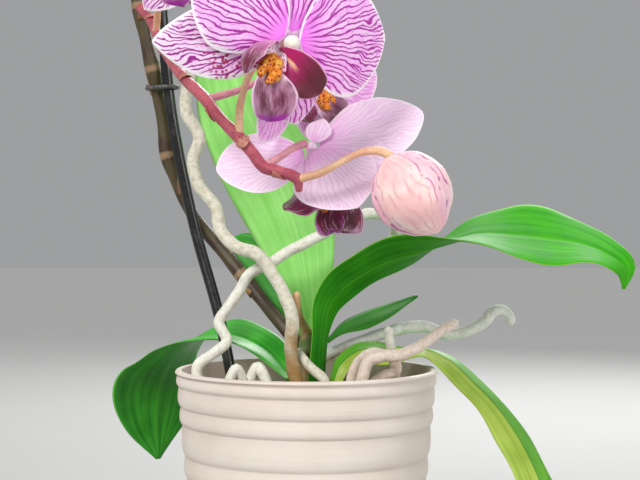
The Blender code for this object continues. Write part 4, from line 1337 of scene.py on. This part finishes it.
def make_flowers():
    backs = ("fce0f8", "d070c4")
    bold = petal_material(
        "petal_bold", "fa7cf6", "fdcdf9", "fff2fd", "a80c9c", 1.0, *backs)
    spotted = petal_material(
        "petal_spotted", "fa9cf4", "fddcfb", "fff4fd", "980c88", 1.0, *backs, spots=0.9)
    soft = petal_material(
        "petal_soft", "f090e4", "fac8f4", "ffe6fb", "b83cae", 0.5, *backs)
    lip = (lobe_material(), middle_lobe_material(), throat_material(), callus_material())
    column = column_material()
    seed = 0
    for which, flower in FLOWERS.items():
        strong = which in ("front", "upper")
        for part in ("sepal_top", "sepal_left", "sepal_right", "petal_left", "petal_right"):
            seed += 1
            tissue = bold if strong else soft
            if strong and part == "sepal_left":
                tissue = spotted
            name = f"{which}_{part}"
            make_tepal(
                name + "_blade", name, flower, flower[part], tissue, part.startswith("petal"), 3.1 * seed)
        make_lip(which, flower, *lip)
        make_column(which, flower, column)


def make_bud():
    rings, marks = tube_rings(BUD, sides=84, spacing=0.6, round_end=True)
    centres = rings.mean(axis=1, keepdims=True)
    turn = marks[..., 2] * 2 * math.pi
    share = marks[..., 1]
    seam = np.exp(-((np.sin(1.5 * turn + 0.4) / 0.10) ** 2)) * smooth_step(0.05, 0.3, share)
    swell = 1 - 0.055 * seam + 0.02 * np.sin(3 * turn + 1.2) * share + 0.010 * wave(rings, 5.0, 3.0)
    rings = centres + (rings - centres) * swell[..., None]
    ring_object("bud_body", rings, {"stem": marks}, bud_material(), "bud", "bud")


# ---------------------------------------------------------------- room


def make_floor():
    mesh = bpy.data.meshes.new("floor")
    bm = bmesh.new()
    bmesh.ops.create_circle(bm, cap_ends=True, segments=96, radius=6.0)
    bm.to_mesh(mesh)
    bm.free()
    mesh.materials.append(floor_material())
    floor = bpy.data.objects.new("floor", mesh)
    bpy.context.scene.collection.objects.link(floor)


def add_light(name, kind, place, power, colour, size):
    """A soft light at place that points at the plant. size is a disc's width, or a sun's angle in degrees."""
    lamp = bpy.data.lights.new(name, kind)
    lamp.energy = power
    lamp.color = colour
    if kind == "SUN":
        lamp.angle = math.radians(size)
    else:
        lamp.shape = "DISK"
        lamp.size = size
    obj = bpy.data.objects.new(name, lamp)
    obj.location = place
    obj.rotation_euler = (Vector((0.0, 0.0, 0.2)) - Vector(place)).to_track_quat("-Z", "Y").to_euler()
    bpy.context.scene.collection.objects.link(obj)


def make_room():
    make_floor()
    add_light("key", "SUN", (-0.75, -1.1, 1.2), 2.5, (1.0, 0.99, 0.97), 28.0)
    add_light("fill", "AREA", (1.3, -1.1, 0.6), 12.0, (0.98, 0.99, 1.0), 1.2)
    add_light("back", "AREA", (0.35, 1.0, 0.9), 13.0, (1.0, 1.0, 0.98), 0.8)
    world = bpy.data.worlds.new("studio")
    world.use_nodes = True
    background = world.node_tree.nodes["Background"]
    background.inputs["Color"].default_value = (0.34, 0.345, 0.35, 1.0)
    background.inputs["Strength"].default_value = 1.0
    scene = bpy.context.scene
    scene.world = world
    scene.view_settings.view_transform = "Standard"


def make_camera():
    lens = bpy.data.cameras.new("camera")
    lens.lens = 84.4
    lens.sensor_width = 36.0
    camera = bpy.data.objects.new("camera", lens)
    camera.location = (0.007, -0.773, 0.200)
    camera.rotation_euler = (math.radians(89.35), 0.0, 0.0)
    bpy.context.scene.collection.objects.link(camera)
    bpy.context.scene.camera = camera


make_camera()
make_room()
make_pot()
make_bark()
make_crown()
make_roots()
make_leaves()
make_spike()
make_branch()
make_stake_and_clip()
make_flowers()
make_bud()

bpy.context.view_layer.update()
